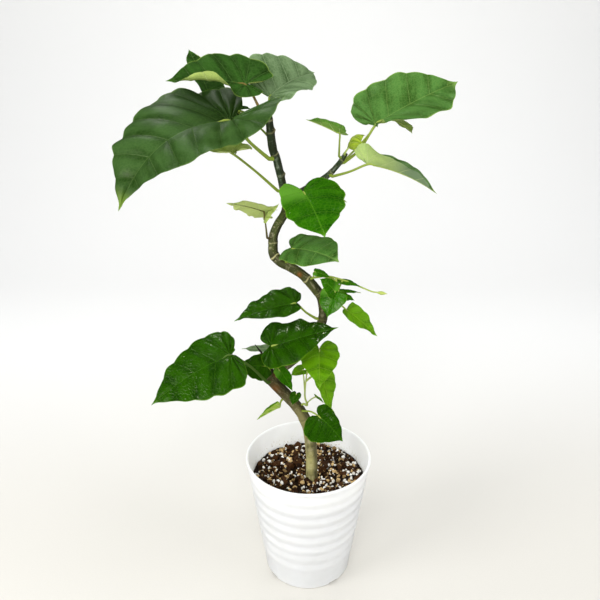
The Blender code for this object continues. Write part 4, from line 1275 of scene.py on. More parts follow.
@dataclass
class BarkTube(Tube):
    """A limb whose bark has ridges, leaf-scar rings and knots."""

    bark: Bark | None = None
    length: float = 0.0

    @classmethod
    def of(cls, limb: Limb, bark: Bark, sunk: float = 0.0) -> "BarkTube":
        """Return the tube of a limb.

        Args:
            limb: the limb.
            bark: what grows on its skin.
            sunk: how far its foot goes on straight down, in millimetres.

        Returns:
            The tube, not yet swept.
        """
        run = limb.run(BARK_STEPS_PER_SPAN)
        path, radii = list(run.path), list(run.radii)
        length = sum((b - a).length for a, b in zip(path, path[1:]))
        if sunk:
            path.insert(0, path[0] - Vector((0.0, 0.0, sunk)))
            radii.insert(0, radii[0])
        return cls(path, radii, bark.sides, bark.age, bark, length)

    def skin(self, along: float, turn: float, out: Vector, radius: float) -> tuple[float, tuple]:
        """Return the relief and the marks at a place on the bark.

        Args:
            along: the distance from the foot in millimetres.
            turn: the angle round the limb.
            out: the way the skin faces there.
            radius: the limb's radius there.

        Returns:
            The relief in millimetres, and how pale, orange and dark the bark is there.
        """
        x, y = radius * math.cos(turn), radius * math.sin(turn)
        seed = self.bark.seed
        coarse = noise.noise(Vector((x / 7.0, y / 7.0, along / 17.0 + seed)))
        ridge = noise.noise(Vector((x / 2.2, y / 2.2, along / 26.0 + seed + 5.0)))
        fine = noise.noise(Vector((x / 1.1, y / 1.1, along / 1.6 + seed + 9.0)))
        relief = (coarse * 0.50 + ridge * 0.22 + fine * 0.14) * self.bark.rough
        pale = orange = dark = 0.0
        for number, (at, strength) in enumerate(self.bark.rings):
            wobble = noise.noise(Vector((x / 5.0, y / 5.0, seed + number * 3.1))) * 1.6
            away = along - at * self.length - wobble
            relief += (0.3 + 0.3 * strength) * math.exp(-(away / 1.9) ** 2) - 0.22 * math.exp(-(away / 0.5) ** 2)
            pale = max(pale, strength * math.exp(-(away / 0.8) ** 2))
            dark = max(dark, 0.5 * strength * math.exp(-((away - 1.7) / 0.9) ** 2))
        for knot in self.bark.knots:
            azimuth = math.radians(knot.azimuth)
            facing = Vector((math.cos(azimuth), math.sin(azimuth), 0.0))
            away = math.hypot(out.angle(facing) * radius, along - knot.at * self.length) / knot.size
            if away < 2.5:
                swell = math.exp(-away * away)
                relief += knot.height * swell
                pale = max(pale, knot.stain[0] * smoothstep(1.2, 0.6, away) if away < 1.2 else 0.0)
                orange = max(orange, knot.stain[1] * swell)
                dark = max(dark, knot.stain[2] * swell)
        return relief, (pale, orange, dark)


BARK_LOWER = Bark(
    48,
    rings=((0.17, 0.05), (0.36, 0.1), (0.60, 0.12), (0.80, 0.1)),
    knots=(Knot(0.965, 245, 6.0, 0.5, (0.0, 0.6, 0.2)), Knot(0.90, 265, 4.0, 0.3, (0.0, 0.15, 0.4)),
           Knot(0.99, 120, 6.0, 0.3, (0.0, 0.3, 0.5)), Knot(0.62, 200, 3.0, 0.6, (0.0, 0.0, 0.4))),
    age=(0.0, 0.45),
    seed=1.0,
)
BARK_UPPER = Bark(
    44,
    rings=((0.13, 0.1), (0.28, 0.12), (0.42, 0.1), (0.55, 0.25), (0.62, 0.85), (0.78, 0.8), (0.835, 0.3), (0.93, 0.12)),
    knots=(Knot(0.655, 262, 3.0, 0.6, (0.0, 0.8, 0.1)), Knot(0.63, 300, 2.2, 1.0, (0.8, 0.0, 0.0)),
           Knot(0.775, 195, 2.6, 1.4, (0.2, 0.0, 0.7)), Knot(0.06, 240, 5.0, 0.5, (0.0, 0.3, 0.3))),
    age=(0.45, 1.0),
    seed=7.0,
)
BARK_LEADER = Bark(
    36,
    rings=((0.12, 0.2), (0.33, 0.2), (0.56, 0.3), (0.80, 0.3), (0.92, 0.4)),
    knots=(Knot(0.335, 350, 2.3, 1.9, (0.25, 0.0, 0.3)), Knot(0.82, 350, 2.2, 1.9, (0.3, 0.15, 0.2))),
    age=(0.1, 1.0),
    seed=13.0,
    rough=1.2,
)
BARK_RIGHT = Bark(
    30, rings=((0.2, 0.15), (0.45, 0.2), (0.7, 0.3), (0.9, 0.3)), knots=(), age=(0.1, 1.0), seed=19.0, rough=0.8,
)
BARK_SPUR = Bark(
    20, rings=((0.45, 0.2),), knots=(Knot(0.5, 90, 1.5, 0.8, (0.0, 0.0, 0.3)),), age=(0.0, 1.0), seed=23.0, rough=0.9,
)


@dataclass
class Limbs:
    """The trunk with its stub, its two boughs and the dry spur."""

    foot_sunk: float = 8.0

    def runs(self) -> dict:
        """Return the paths of the part's solids by name, for the stems to start from."""
        runs = {"trunk_lower": TRUNK_LOWER.run(), "trunk_upper": TRUNK_UPPER.run()}
        runs["leader"] = LEADER.seated_on_tip(runs["trunk_upper"])
        runs["dry_spur"] = DRY_SPUR.seated_on_side(list(runs.values()))
        runs["right_bough"] = RIGHT_BOUGH.seated_on_side(list(runs.values()))
        return runs

    def build(self) -> None:
        """Build and dress every limb."""
        trunk = Surface()
        BarkTube.of(TRUNK_LOWER, BARK_LOWER, self.foot_sunk).sweep(trunk, 0, 2)
        BarkTube.of(TRUNK_UPPER, BARK_UPPER).sweep(trunk, 1, 2)
        settle(trunk.build("trunk_bark", OLD_BARK.material()), "bark", "trunk")
        for name, limb, bark, finish, slot in (
                ("bough_leader", LEADER, BARK_LEADER, YOUNG_BARK, "bark_young"),
                ("bough_right", RIGHT_BOUGH, BARK_RIGHT, YOUNG_BARK, "bark_young"),
                ("dry_spur", DRY_SPUR, BARK_SPUR, DRY_BARK, "dry_wood")):
            surface = Surface()
            BarkTube.of(limb, bark).sweep(surface, 0, 1)
            settle(surface.build(name + "_bark", finish.material()), slot, name)


@dataclass
class BladeSheet:
    """One leaf blade as a thin closed sheet with waves, quilting and vein coordinates."""

    blade: Blade
    spray: Spray
    seed: float

    @property
    def cells(self) -> int:
        """Return how many cells lie between the midrib and the edge."""
        return max(6, min(30, round(self.blade.width * CELLS_PER_WIDTH)))

    def vein_number(self, share: float) -> float:
        """Return the side-vein coordinate, a whole number on each side vein."""
        return (share - FIRST_VEIN) / self.blade.vein_step

    def row_shares(self) -> list[float]:
        """Return the shares of the edge where rows of points end, with a row on each side vein."""
        step = self.blade.vein_step
        rows = max(3, min(11, round(self.blade.length * ROWS_PER_LENGTH)))
        first = -math.floor(FIRST_VEIN / step * rows)
        inner = [FIRST_VEIN + step * k / rows for k in range(first, round(rows / step) + 1)]
        kept = [share for share in inner if FIRST_RIB + 0.01 < share < 0.992]
        return [FIRST_RIB, *kept, 1.0]

    def scallop(self, share: float) -> float:
        """Return how far the edge is drawn out between two side veins, as a share of its width."""
        number = self.vein_number(share)
        bulge = SCALLOP * (abs(math.sin(math.pi * number)) - 0.6)
        return bulge + self.spray.ragged * noise.noise(Vector((number * 1.6, self.seed, 3.0)))

    def relief(self, share: float, part: float, sign: int) -> float:
        """Return how far the sheet is raised from the plain rule.

        Args:
            share: the share of the half outline.
            part: how far out from the midrib.
            sign: the side of the blade.

        Returns:
            The height in millimetres along the sheet's normal.
        """
        length = self.blade.length
        number = self.vein_number(share)
        dome = abs(math.sin(math.pi * number)) ** 0.9
        crease = 1.0 - abs(math.cos(math.pi * number)) ** 7
        swell = (dome + crease) * 0.5
        quilt = self.spray.quilt * length * swell * smoothstep(0.0, 0.35, part) * (1.0 - 0.6 * part)
        phase = self.seed + sign * 1.7
        slow = noise.noise(Vector((share * 5.0, part * 1.2, phase * 3.0)))
        quick = noise.noise(Vector((number * 1.1, part * 1.5, phase * 7.0)))
        wave = self.spray.wave * length * part ** 3 * (slow * 1.1 + quick * 1.3) * smoothstep(1.0, 0.9, share)
        return quilt + wave

    def add_to(self, surface: Surface, cell: int, cells_across: int) -> None:
        """Add the sheet's upper and lower faces to a surface.

        Args:
            surface: the piece that takes it.
            cell: the first of its two cells in the bake chart.
            cells_across: how many cells the chart has each way.
        """
        blade = self.blade
        cells = self.cells
        shares = self.row_shares()
        last = len(shares) - 1
        grid = []
        for share in shares:
            drawn = self.scallop(share)
            row = []
            for i in range(-cells, cells + 1):
                half, sign = (blade.left, 1) if i > 0 else (blade.right, -1)
                part = abs(i) / cells
                row.append((blade.rib_point(share, part * (1.0 + drawn * part), half, sign), share, part, sign))
            grid.append(row)

        work = bmesh.new()
        found: dict = {}
        numbers = []
        facts = []
        for j, row in enumerate(grid):
            line = []
            for i, (place, share, part, sign) in enumerate(row):
                key = tuple(round(c, 2) for c in place)
                if key not in found:
                    found[key] = len(facts)
                    work.verts.new(place)
                    ahead, behind = min(j + 1, last), max(j - 1, 0)
                    spacing = (grid[ahead][i][0] - grid[behind][i][0]).length * blade.vein_step
                    spacing /= shares[ahead] - shares[behind]
                    t, across = self.flat_place(share, part)
                    facts.append((share, part, sign, spacing, t * blade.length, across * blade.width * sign,
                                  part > 0.999 or j == 0))
                line.append(found[key])
            numbers.append(line)
        work.verts.ensure_lookup_table()
        quads = []
        for low, high in zip(numbers, numbers[1:]):
            for i in range(len(low) - 1):
                corners = [low[i], high[i], high[i + 1], low[i + 1]]
                unique = [c for k, c in enumerate(corners) if c not in corners[:k]]
                if len(unique) >= 3:
                    quads.append(corners)
                    if work.faces.get([work.verts[c] for c in unique]) is None:
                        work.faces.new([work.verts[c] for c in unique])
        work.normal_update()

        upper, lower = [], []
        for vertex, (share, part, sign, spacing, along, across, rim) in zip(work.verts, facts):
            lift = vertex.normal * self.relief(share, part, sign)
            thick = vertex.normal * (LAMINA_THICKNESS * 0.5 * smoothstep(1.0, 0.9, part))
            data = {"venation": (self.vein_number(share), part, spacing), "lamina": (along, across, self.seed * 50.0),
                    "tipward": along / blade.length}
            if rim:
                number = surface.add_point(vertex.co + lift, **data)
                upper.append(number)
                lower.append(number)
            else:
                upper.append(surface.add_point(vertex.co + lift + thick, **data))
                lower.append(surface.add_point(vertex.co + lift - thick, **data))
        work.free()
        for corners in quads:
            for offset, sheet, order in ((0, upper, corners), (1, lower, corners[::-1])):
                chart = [self.chart_place(facts[c][4], facts[c][5], cell + offset, cells_across) for c in order]
                surface.add_face([sheet[c] for c in order], chart, underside=float(offset))

    def flat_place(self, share: float, part: float) -> tuple[float, float]:
        """Return the place on the flat leaf, along and across, in shares of its length and width."""
        end_along, end_across = outline_at(share)
        start = max(0.0, (end_along - VEIN_START) / (1.0 - VEIN_START))
        return start + (end_along - start) * part, end_across * part

    def chart_place(self, along: float, across: float, cell: int, cells_across: int) -> tuple[float, float]:
        """Return the place on the bake chart of a point of the flat leaf."""
        column, row = cell % cells_across, cell // cells_across
        u = 0.03 + 0.94 * (along / self.blade.length + 0.25) / 1.25
        v = 0.5 + 0.94 * across / self.blade.width
        return (column + u) / cells_across, (row + v) / cells_across


@dataclass
class Foliage:
    """Every leaf and shoot: blades and stalks, one pair of pieces for each node.

    runs holds the limbs that the stems start from, by name.
    """

    runs: dict

    def leaving_direction(self, run: Run, at: float, toward: Any) -> Vector:
        """Return the way a stem leaves its limb: partly straight out, partly at its goal."""
        aim = (Vector(toward) - run.place(at)).normalized()
        tangent = run.tangent(at)
        outward = (aim - tangent * aim.dot(tangent)).normalized()
        return (outward * OUTWARD_SHARE + aim * (1.0 - OUTWARD_SHARE)).normalized()

    def stem_foot(self, spray: Spray, toward: Any, radius: float) -> list:
        """Return the first points of a stem: under the bark, at the bark and past it.

        Args:
            spray: the spray that the stem carries.
            toward: the place that the stem goes to.
            radius: the stem's radius.

        Returns:
            Three points in millimetres.
        """
        run = self.runs[spray.limb]
        origin = run.place(spray.at)
        direction = self.leaving_direction(run, spray.at, toward)
        start = clear_start(origin, direction, radius, self.runs.values())
        inside = start - direction * (GAP + 2.2)
        return [inside, start, start + direction * LEAD_LENGTH]

    def stalk_path(self, blade: Blade, foot: list, arch: float) -> tuple[list, list]:
        """Return the path and radii of a stalk that runs on under the midrib.

        Args:
            blade: the blade that it carries.
            foot: its first points.
            arch: how far its middle is raised, as a share of its length.

        Returns:
            The points and the radius at each, in millimetres.
        """
        base = Vector(blade.base)
        near = foot[-1]
        middle = (near + base) / 2.0 + Vector((0.0, 0.0, 1.0)) * (base - near).length * arch
        sunk = blade.frame_at(STALK_SINK)[0]
        radius = blade.stalk_radius
        steps = 8
        free = smooth_path((near, middle, base, sunk), steps)
        tapered = smooth_values([radius * share for share in STALK_TAPER], steps)
        ribs = []
        for k in range(1, 13):
            t = STALK_SINK + (0.97 - STALK_SINK) * k / 12
            place, _, normal = blade.frame_at(t)
            ribs.append((place, normal, t))
        # Under the blade the stalk sinks to the lower face and thins into the midrib
        path = [*foot[:-1]]
        radii = [tapered[0] * 1.25, tapered[0] * 1.12][:len(foot) - 1]
        for i, (place, size) in enumerate(zip(free, tapered)):
            under = smoothstep(len(free) - 1.6 * steps, len(free) - 1.0, i)
            normal = blade.frame_at(0.0 if i < 2 * steps else STALK_SINK * (i - 2 * steps) / steps)[2]
            path.append(place - normal * under * size * 0.75)
            radii.append(size)
        last = tapered[-1]
        for place, normal, t in ribs:
            size = last * (1.0 - 0.8 * t)
            path.append(place - normal * (size * 0.75))
            radii.append(size)
        return path, radii

    def bud(self, place: Vector, ahead: Vector, length: float) -> Tube:
        """Return a plump pointed bud that goes on from the end of a twig.

        Args:
            place: the end of the twig in millimetres.
            ahead: the way the twig points.
            length: the bud's length.

        Returns:
            The bud, not yet swept.
        """
        last = len(BUD_PROFILE) - 1
        path = [place + ahead * (length * i / last) for i in range(last + 1)]
        return Tube(path, [length * share for share in BUD_PROFILE], 10, (0.9, 1.0))

    def build_spray(self, spray: Spray) -> None:
        """Build one node's blades and stalks and dress them.

        Args:
            spray: the spray.
        """
        stems = Surface()
        tubes = []
        if spray.twig:
            foot = self.stem_foot(spray, spray.twig[0], spray.twig_radius)
            coarse = [foot[1], *smooth_path((foot[2], *spray.twig), STEPS_PER_SPAN_OF_TWIG_JOINT)]
            joints = Run(coarse, [1.0] * len(coarse))
            path = [foot[0], foot[1], *smooth_path((foot[2], *spray.twig), 8)]
            count = len(path) - 1
            radii = [spray.twig_radius * (1.0 - TWIG_TAPER * i / count) for i in range(count + 1)]
            radii[0] *= 1.35
            tubes.append(Tube(path, radii, 10, (0.0, 0.7)))
            if spray.bud:
                tubes.append(self.bud(path[-1], (path[-1] - path[-3]).normalized(), spray.bud))
            feet = [[joints.place(joint)] for joint in spray.joints]
        else:
            blade = spray.blades[0]
            feet = [self.stem_foot(spray, blade.base, blade.stalk_radius * STALK_TAPER[0])]
        for foot, blade in zip(feet, spray.blades):
            path, radii = self.stalk_path(blade, foot, spray.arch)
            tubes.append(Tube(path, radii, 10, (0.0 if len(foot) > 1 else 0.6, 1.0)))
        for row, tube in enumerate(tubes):
            tube.sweep(stems, row, len(tubes))
        settle(stems.build(spray.name + "_stalk", spray.stalk.material()), spray.slot, spray.name)

        sheets = Surface()
        across = math.ceil(math.sqrt(2 * len(spray.blades)))
        chance = random.Random(spray.name)
        for number, blade in enumerate(spray.blades):
            BladeSheet(blade, spray, chance.uniform(0.0, 9.0)).add_to(sheets, 2 * number, across)
        settle(sheets.build(spray.name + "_blade", spray.finish.material(), 70.0), spray.slot, spray.name)

    def build(self) -> None:
        """Build every spray, the rear ones by their seeded rule."""
        for spray in (*SPRAYS, *(rear.grow(self.runs) for rear in REAR_SPRAYS)):
            self.build_spray(spray)


@dataclass
class Pot:
    """The white ribbed nursery pot, turned at a high resolution, with its drainage slots."""

    sides: int = 144
    finish: PotPlastic = field(default_factory=PotPlastic)
    slot_azimuths: tuple = (36.0, 126.0, 216.0, 306.0)
    slot_width: float = 15.0
    slot_height: float = 4.0
    slot_depth: float = 9.0
    creases: tuple = ((118.0, 7.0, 1.6), (104.0, 4.0, -0.8), (57.0, 6.0, 1.5), (20.0, 9.0, 0.8), (165.0, 9.0, 0.9))

    @property
    def slope(self) -> float:
        """Return how much the wall widens for each millimetre of height."""
        return (POT_RIM_RADIUS - POT_LIP_OUT - POT_BASE_RADIUS) / POT_HEIGHT

    def outer(self, z: float) -> float:
        """Return the plain outer radius at a height."""
        return POT_BASE_RADIUS + self.slope * z

    def rib(self, z: float) -> float:
        """Return how far the ribs stand out at a height.

        Args:
            z: the height in millimetres.

        Returns:
            The height of the rib over the plain wall.
        """
        number = (RIB_TOP_Z - z) / RIB_PITCH
        if not -0.5 < number < RIB_COUNT - 0.5:
            return 0.0
        depth = RIB_DEPTH * (1.0 if number < RIB_COUNT - 2.5 else 0.6)
        return depth * (0.5 + 0.5 * math.cos(math.tau * number)) ** 0.8

    def profile(self) -> list:
        """Return the section up the inside, over the lip and down the outside."""
        top = POT_HEIGHT
        wall_top = POT_RIM_RADIUS - POT_LIP_OUT
        inside = [(0.0, POT_FLOOR), (self.outer(POT_FLOOR) - POT_WALL - 3.0, POT_FLOOR)]
        for k in range(41):
            z = POT_FLOOR + 3.0 + (top - 2.0 - POT_FLOOR - 3.0) * k / 40
            inside.append((self.outer(z) - POT_WALL, z))
        lip = [(wall_top - POT_WALL + 0.2, top - 0.6), (wall_top - POT_WALL + 1.0, top - 0.1),
               (wall_top - 0.2, top), (POT_RIM_RADIUS - 0.9, top - 0.1), (POT_RIM_RADIUS - 0.2, top - 0.7),
               (POT_RIM_RADIUS, top - 1.6), (POT_RIM_RADIUS - 0.05, top - 3.2), (POT_RIM_RADIUS - 0.5, top - 3.9),
               (wall_top + 0.1 - self.slope * 4.3, top - 4.3), (self.outer(top - 5.0), top - 5.0)]
        outside = []
        z = top - 6.0
        while z > 3.0:
            outside.append((self.outer(z) + self.rib(z), z))
            z -= 1.1
        foot = [(self.outer(2.6) - 0.1, 2.4), (self.outer(1.6) - 0.4, 1.3), (POT_BASE_RADIUS - 0.9, 0.5),
                (POT_BASE_RADIUS - 1.9, 0.05), (POT_BASE_RADIUS - 3.0, 0.0), (0.0, 0.0)]
        return inside + lip + outside + foot

    def dent(self, azimuth: float, z: float) -> float:
        """Return how far the inner wall is pushed in at a place by its soft upright creases."""
        depth = 0.0
        for middle, width, height in self.creases:
            away = (azimuth - middle + 180.0) % 360.0 - 180.0
            depth += height * math.exp(-(away / width) ** 2)
        return depth * smoothstep(POT_HEIGHT - 1.0, POT_HEIGHT - 18.0, z) if z < POT_HEIGHT else 0.0

    def build(self) -> None:
        """Turn the pot, cut its slots and dress it."""
        surface = Surface()
        profile = self.profile()
        inner_end = 43
        rings = []
        for j, (radius, z) in enumerate(profile):
            splash = smoothstep(SOIL_TOP_Z + 16.0, SOIL_TOP_Z + 1.0, z) if j < inner_end else 0.0
            if radius == 0.0:
                rings.append([surface.add_point(Vector((0.0, 0.0, z)), splash=splash)] * self.sides)
                continue
            ring = []
            for k in range(self.sides):
                azimuth = 360.0 * k / self.sides
                inward = self.dent(azimuth, z) if 1 < j < inner_end else 0.0
                r = radius - max(0.0, inward)
                place = Vector((r * math.cos(math.radians(azimuth)), r * math.sin(math.radians(azimuth)), z))
                ring.append(surface.add_point(place, splash=splash))
            rings.append(ring)
        reach = [0.0]
        for a, b in zip(profile, profile[1:]):
            reach.append(reach[-1] + math.hypot(b[0] - a[0], b[1] - a[1]))
        for j, (low, high) in enumerate(zip(rings, rings[1:])):
            v0, v1 = reach[j] / reach[-1], reach[j + 1] / reach[-1]
            for k in range(self.sides):
                n = (k + 1) % self.sides
                u0, u1 = k / self.sides, (k + 1) / self.sides
                surface.add_face([low[k], high[k], high[n], low[n]], [(u0, v0), (u0, v1), (u1, v1), (u1, v0)])
        pot = surface.build("pot_shell", self.finish.material(), 50.0)
        self.cut_slots(pot)
        settle(pot, "pot_plastic", "pot")

    def cut_slots(self, pot: bpy.types.Object) -> None:
        """Cut the drainage slots through the foot with one boxy cutter, then remove the cutter.

        Args:
            pot: the turned pot.
        """
        work = bmesh.new()
        reach = POT_BASE_RADIUS - 1.0
        for azimuth in self.slot_azimuths:
            turn = Matrix.Rotation(math.radians(azimuth), 4, "Z")
            move = turn @ Matrix.Translation((reach * MM, 0.0, 0.0))
            scale = Matrix.Diagonal((self.slot_depth * MM, self.slot_width * MM, 2.0 * self.slot_height * MM, 1.0))
            bmesh.ops.create_cube(work, size=1.0, matrix=move @ scale)
        mesh = bpy.data.meshes.new("slot_cutter")
        work.to_mesh(mesh)
        work.free()
        cutter = bpy.data.objects.new("slot_cutter", mesh)
        bpy.context.scene.collection.objects.link(cutter)
        cut = pot.modifiers.new("slots", "BOOLEAN")
        cut.operation = "DIFFERENCE"
        cut.object = cutter
        cut.solver = "EXACT"
        bpy.context.view_layer.update()
        graph = bpy.context.evaluated_depsgraph_get()
        cut_mesh = bpy.data.meshes.new_from_object(pot.evaluated_get(graph))
        pot.modifiers.clear()
        pot.data = cut_mesh
        bpy.data.objects.remove(cutter, do_unlink=True)


@dataclass
class PottingMix:
    """The potting mix: a lumpy bed with loose bark chips, tan fibre and white perlite on it."""

    seed: int = 5
    chips: int = 620
    tan_grains: int = 480
    perlite_grains: int = 520
    bed_rings: int = 46
    bed_sides: int = 120

    @property
    def radius(self) -> float:
        """Return the bed's radius, just inside the pot's wall."""
        slope = (POT_RIM_RADIUS - POT_LIP_OUT - POT_BASE_RADIUS) / POT_HEIGHT
        return POT_BASE_RADIUS + slope * SOIL_TOP_Z - POT_WALL - GAP - 0.4

    def bed_height(self, x: float, y: float) -> float:
        """Return the height of the lumpy bed at a place."""
        lump = noise.noise(Vector((x / 14.0, y / 14.0, 1.0))) * 1.6 + noise.noise(Vector((x / 4.5, y / 4.5, 4.0))) * 1.3
        fine = noise.noise(Vector((x / 1.8, y / 1.8, 8.0))) * 0.5
        edge = smoothstep(self.radius - 12.0, self.radius, math.hypot(x, y))
        return SOIL_TOP_Z - 0.6 + lump + fine - 1.2 * edge

    def build_bed(self) -> None:
        """Build the lumpy bed, with a skirt down the wall and a plain base."""
        surface = Surface()
        centre = surface.add_point(Vector((0.0, 0.0, self.bed_height(0.0, 0.0))), tone=0.2)
        rings = [[centre] * self.bed_sides]
        for j in range(1, self.bed_rings + 1):
            radius = self.radius * j / self.bed_rings
            ring = []
            for k in range(self.bed_sides):
                turn = math.tau * k / self.bed_sides
                x, y = radius * math.cos(turn), radius * math.sin(turn)
                tone = 0.25 + 0.5 * noise.noise(Vector((x / 3.0, y / 3.0, 12.0)))
                ring.append(surface.add_point(Vector((x, y, self.bed_height(x, y))), tone=tone))
            rings.append(ring)
        skirt = []
        for k in range(self.bed_sides):
            turn = math.tau * k / self.bed_sides
            skirt.append(surface.add_point(Vector(((self.radius - 1.0) * math.cos(turn),
                                                   (self.radius - 1.0) * math.sin(turn), SOIL_TOP_Z - 9.0)), tone=0.0))
        rings.append(skirt)
        last = len(rings) - 1
        for j, (low, high) in enumerate(zip(rings, rings[1:])):
            for k in range(self.bed_sides):
                n = (k + 1) % self.bed_sides
                corners = [low[k], high[k], high[n], low[n]]
                spots = [(j, k), (j + 1, k), (j + 1, k + 1), (j, k + 1)]
                chart = [(0.5 + 0.49 * a / last * math.cos(math.tau * b / self.bed_sides),
                          0.5 + 0.49 * a / last * math.sin(math.tau * b / self.bed_sides)) for a, b in spots]
                surface.add_face(corners, chart)
        finish = LooseFinish("potting_mix_bed", "#070402", "#2C1B0E", 0.95, 1.4)
        settle(surface.build("soil_bed", finish.material()), "soil_mix", "soil")

    def scatter(self, name: str, count: int, low: float, high: float, flat: float, finish: LooseFinish,
                seed: int, sunk: float) -> None:
        """Scatter one kind of grain over the bed as one piece.

        Args:
            name: the piece's name.
            count: how many grains.
            low: the least size in millimetres.
            high: the greatest size.
            flat: how flat a grain is, 1 for round.
            finish: its finish.
            seed: the seed of the scatter.
            sunk: how far a grain sinks into the bed, as a share of its size.
        """
        chance = random.Random(seed)
        template = bmesh.new()
        bmesh.ops.create_icosphere(template, subdivisions=1, radius=1.0)
        corners = [v.co.copy() for v in template.verts]
        faces = [[v.index for v in f.verts] for f in template.faces]
        template.free()
        surface = Surface()
        across = math.ceil(math.sqrt(count))
        for number in range(count):
            radius = (self.radius - high * 0.6) * math.sqrt(chance.random())
            turn = chance.uniform(0.0, math.tau)
            x, y = radius * math.cos(turn), radius * math.sin(turn)
            if math.hypot(x - TRUNK_LOWER.points[0][0], y - TRUNK_LOWER.points[0][1]) < 10.0:
                continue
            size = low + (high - low) * chance.random() ** 1.8
            shape = Vector((chance.uniform(0.7, 1.3), chance.uniform(0.7, 1.3), flat * chance.uniform(0.8, 1.2)))
            spin = Quaternion((chance.gauss(0, 1), chance.gauss(0, 1), chance.gauss(0, 1), chance.gauss(0, 1)))
            spin.normalize()
            tilt = Quaternion((0.0, 0.0, 1.0), chance.uniform(0.0, math.tau)).slerp(spin, 0.45)
            middle = Vector((x, y, self.bed_height(x, y) + size * (0.5 - sunk)))
            tone = chance.random() ** 1.3
            first = len(surface.points)
            for corner in corners:
                jag = 1.0 + 0.35 * noise.noise(corner * 1.3 + Vector((number, 0.0, seed)))
                local = Vector((corner.x * shape.x, corner.y * shape.y, corner.z * shape.z)) * (size * 0.5 * jag)
                surface.add_point(middle + tilt @ local, tone=tone)
            column, row = number % across, number // across
            for face in faces:
                chart = [((column + 0.5 + 0.45 * corners[c].x) / across, (row + 0.5 + 0.45 * corners[c].y) / across)
                         for c in face]
                surface.add_face([first + c for c in face], chart)
        settle(surface.build(name, finish.material(), 35.0), "soil_mix", "soil")

    def build(self) -> None:
        """Build the bed and scatter the three kinds of grain."""
        self.build_bed()
        self.scatter("soil_bark_chips", self.chips, 3.5, 11.0, 0.5,
                     LooseFinish("pine_bark_chipped", "#080402", "#432810", 0.85, 0.9), self.seed, 0.25)
        self.scatter("soil_tan_grains", self.tan_grains, 2.4, 7.0, 0.65,
                     LooseFinish("coir_and_pumice_sieved", "#4E3512", "#D6B680", 0.9, 0.7), self.seed + 1, 0.15)
        self.scatter("soil_perlite", self.perlite_grains, 1.8, 6.2, 0.85,
                     LooseFinish("perlite_expanded", "#D8D2C4", "#FFFEFA", 0.85, 0.6), self.seed + 2, 0.15)


class LampUse(Enum):
    """What a studio lamp is for."""

    LIGHT = "light"
    GLINT = "glint"
    BOTH = "both"


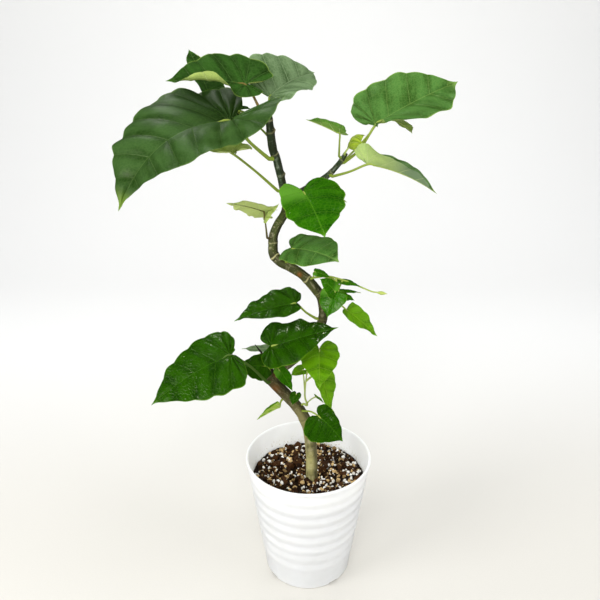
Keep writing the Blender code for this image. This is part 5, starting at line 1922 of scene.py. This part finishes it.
@dataclass
class Studio:
    """The pale floor that sweeps up behind, soft light and the camera at the photograph's angle."""

    camera_place: tuple = (-0.012, -0.787, 0.752)
    camera_pitch: float = 67.9
    lens: float = 39.0
    floor_colour: str = "#D2D0C9"
    wall_colour: str = "#ECECEB"
    sweep_start: float = 2.2
    sweep_radius: float = 1.0
    sweep_height: float = 3.6
    half_width: float = 7.0

    def build_camera(self) -> None:
        """Make the camera and give it to the scene."""
        data = bpy.data.cameras.new("camera")
        data.lens = self.lens
        data.sensor_width = 36.0
        camera = bpy.data.objects.new("camera", data)
        camera.location = self.camera_place
        camera.rotation_euler = (math.radians(self.camera_pitch), 0.0, 0.0)
        bpy.context.scene.collection.objects.link(camera)
        bpy.context.scene.camera = camera

    def build_floor(self) -> None:
        """Make the floor and its sweep as one smooth sheet."""
        section = [(-7.0, 0.0), (self.sweep_start - self.sweep_radius, 0.0)]
        for k in range(1, 13):
            turn = math.pi / 2 * k / 12
            section.append((self.sweep_start - self.sweep_radius + self.sweep_radius * math.sin(turn),
                            self.sweep_radius * (1.0 - math.cos(turn))))
        section.append((self.sweep_start, self.sweep_height))
        points, faces = [], []
        for y, z in section:
            points.extend([(-self.half_width, y, z), (self.half_width, y, z)])
        for k in range(len(section) - 1):
            faces.append([2 * k, 2 * k + 1, 2 * k + 3, 2 * k + 2])
        mesh = bpy.data.meshes.new("floor")
        mesh.from_pydata(points, [], faces)
        mesh.shade_smooth()
        material, tree, shader = new_material("studio_paper_matt")
        place = add_node(tree, "ShaderNodeTexCoord")
        # Matt paper with a faint tooth of about 2 mm
        tooth = add_node(tree, "ShaderNodeTexNoise", {"Scale": 500.0, "Detail": 2.0}, {"Vector": place.outputs["Object"]})
        colour = blend_colours(tree, tooth.outputs["Fac"], linear(self.floor_colour), linear("#D9D6D0"))
        # The far floor and the sweep are a little whiter than the floor under the pot
        split = add_node(tree, "ShaderNodeSeparateXYZ", links={0: place.outputs["Object"]})
        far = add_node(tree, "ShaderNodeMapRange", {"interpolation_type": "SMOOTHSTEP", "From Min": -0.05,
                                                    "From Max": 0.9}, {"Value": split.outputs[1]})
        colour = blend_colours(tree, far.outputs[0], colour, linear(self.wall_colour))
        tree.links.new(colour, shader.inputs["Base Color"])
        shader.inputs["Roughness"].default_value = 0.9
        shader.inputs["Specular IOR Level"].default_value = 0.1
        mesh.materials.append(material)
        floor = bpy.data.objects.new("floor", mesh)
        bpy.context.scene.collection.objects.link(floor)
        floor.visible_glossy = False
        floor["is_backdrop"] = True

    def add_softbox(self, name: str, place: tuple, aim: tuple, size: float, power: float,
                    use: LampUse = LampUse.LIGHT) -> None:
        """Add one large soft lamp.

        Args:
            name: the lamp's name.
            place: where it hangs, in metres.
            aim: the place that it looks at.
            size: the side of its square face.
            power: its power in watts.
            use: whether it lights the surfaces, or only shows as a highlight on them.
        """
        data = bpy.data.lights.new(name, "AREA")
        data.size = size
        data.energy = power
        lamp = bpy.data.objects.new(name, data)
        lamp.visible_glossy = use is not LampUse.LIGHT
        lamp.visible_diffuse = use is not LampUse.GLINT
        lamp.location = place
        lamp.rotation_euler = (Vector(aim) - Vector(place)).to_track_quat("-Z", "Y").to_euler()
        bpy.context.scene.collection.objects.link(lamp)

    def build(self) -> None:
        """Set up the floor, the soft light and the camera."""
        self.build_floor()
        self.build_camera()
        self.add_softbox("key_softbox", (-1.6, -0.9, 1.1), (0.0, 0.0, 0.2), 0.9, 19.0, LampUse.BOTH)
        self.add_softbox("front_softbox", (-0.2, -2.0, 1.8), (0.0, 0.0, 0.3), 1.4, 31.5)
        self.add_softbox("fill_softbox", (1.8, -0.7, 1.0), (0.0, 0.0, 0.2), 1.2, 12.0)
        self.add_softbox("top_softbox", (-0.3, 0.4, 2.3), (0.0, 0.0, 0.4), 1.4, 5.0)
        self.add_softbox("window_right", (1.3, -0.2, 1.7), (0.0, 0.0, 0.35), 0.13, 2.4, LampUse.GLINT)
        self.add_softbox("window_rear", (-0.7, 1.25, 1.8), (0.0, 0.0, 0.35), 0.13, 2.2, LampUse.GLINT)
        self.add_softbox("rear_softbox", (0.2, 1.4, 2.0), (0.0, 0.0, 0.5), 1.4, 6.0)
        self.add_softbox("wall_softbox", (0.0, 0.5, 2.5), (0.0, 2.2, 1.2), 2.0, 9.0)
        world = bpy.data.worlds.new("studio_air")
        world.use_nodes = True
        background = world.node_tree.nodes["Background"]
        background.inputs["Color"].default_value = linear("#F8F9FA")
        background.inputs["Strength"].default_value = 0.60
        # Leaves shine from the lamps alone, not from all of the pale air
        world.cycles_visibility.glossy = False
        bpy.context.scene.world = world
        bpy.context.scene.view_settings.view_transform = "Standard"


def main() -> list:
    """Build the sub-assemblies in order.

    Returns:
        The lowest and highest corner of the part before it is dressed.
    """
    logging.basicConfig(level=logging.INFO, format="%(message)s")
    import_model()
    solid_box = [list(corner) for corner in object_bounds()]
    Studio().build()
    limbs = Limbs()
    limbs.build()
    Foliage(limbs.runs()).build()
    Pot().build()
    PottingMix().build()
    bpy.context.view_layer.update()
    return solid_box


if __name__ == "__main__":
    main()
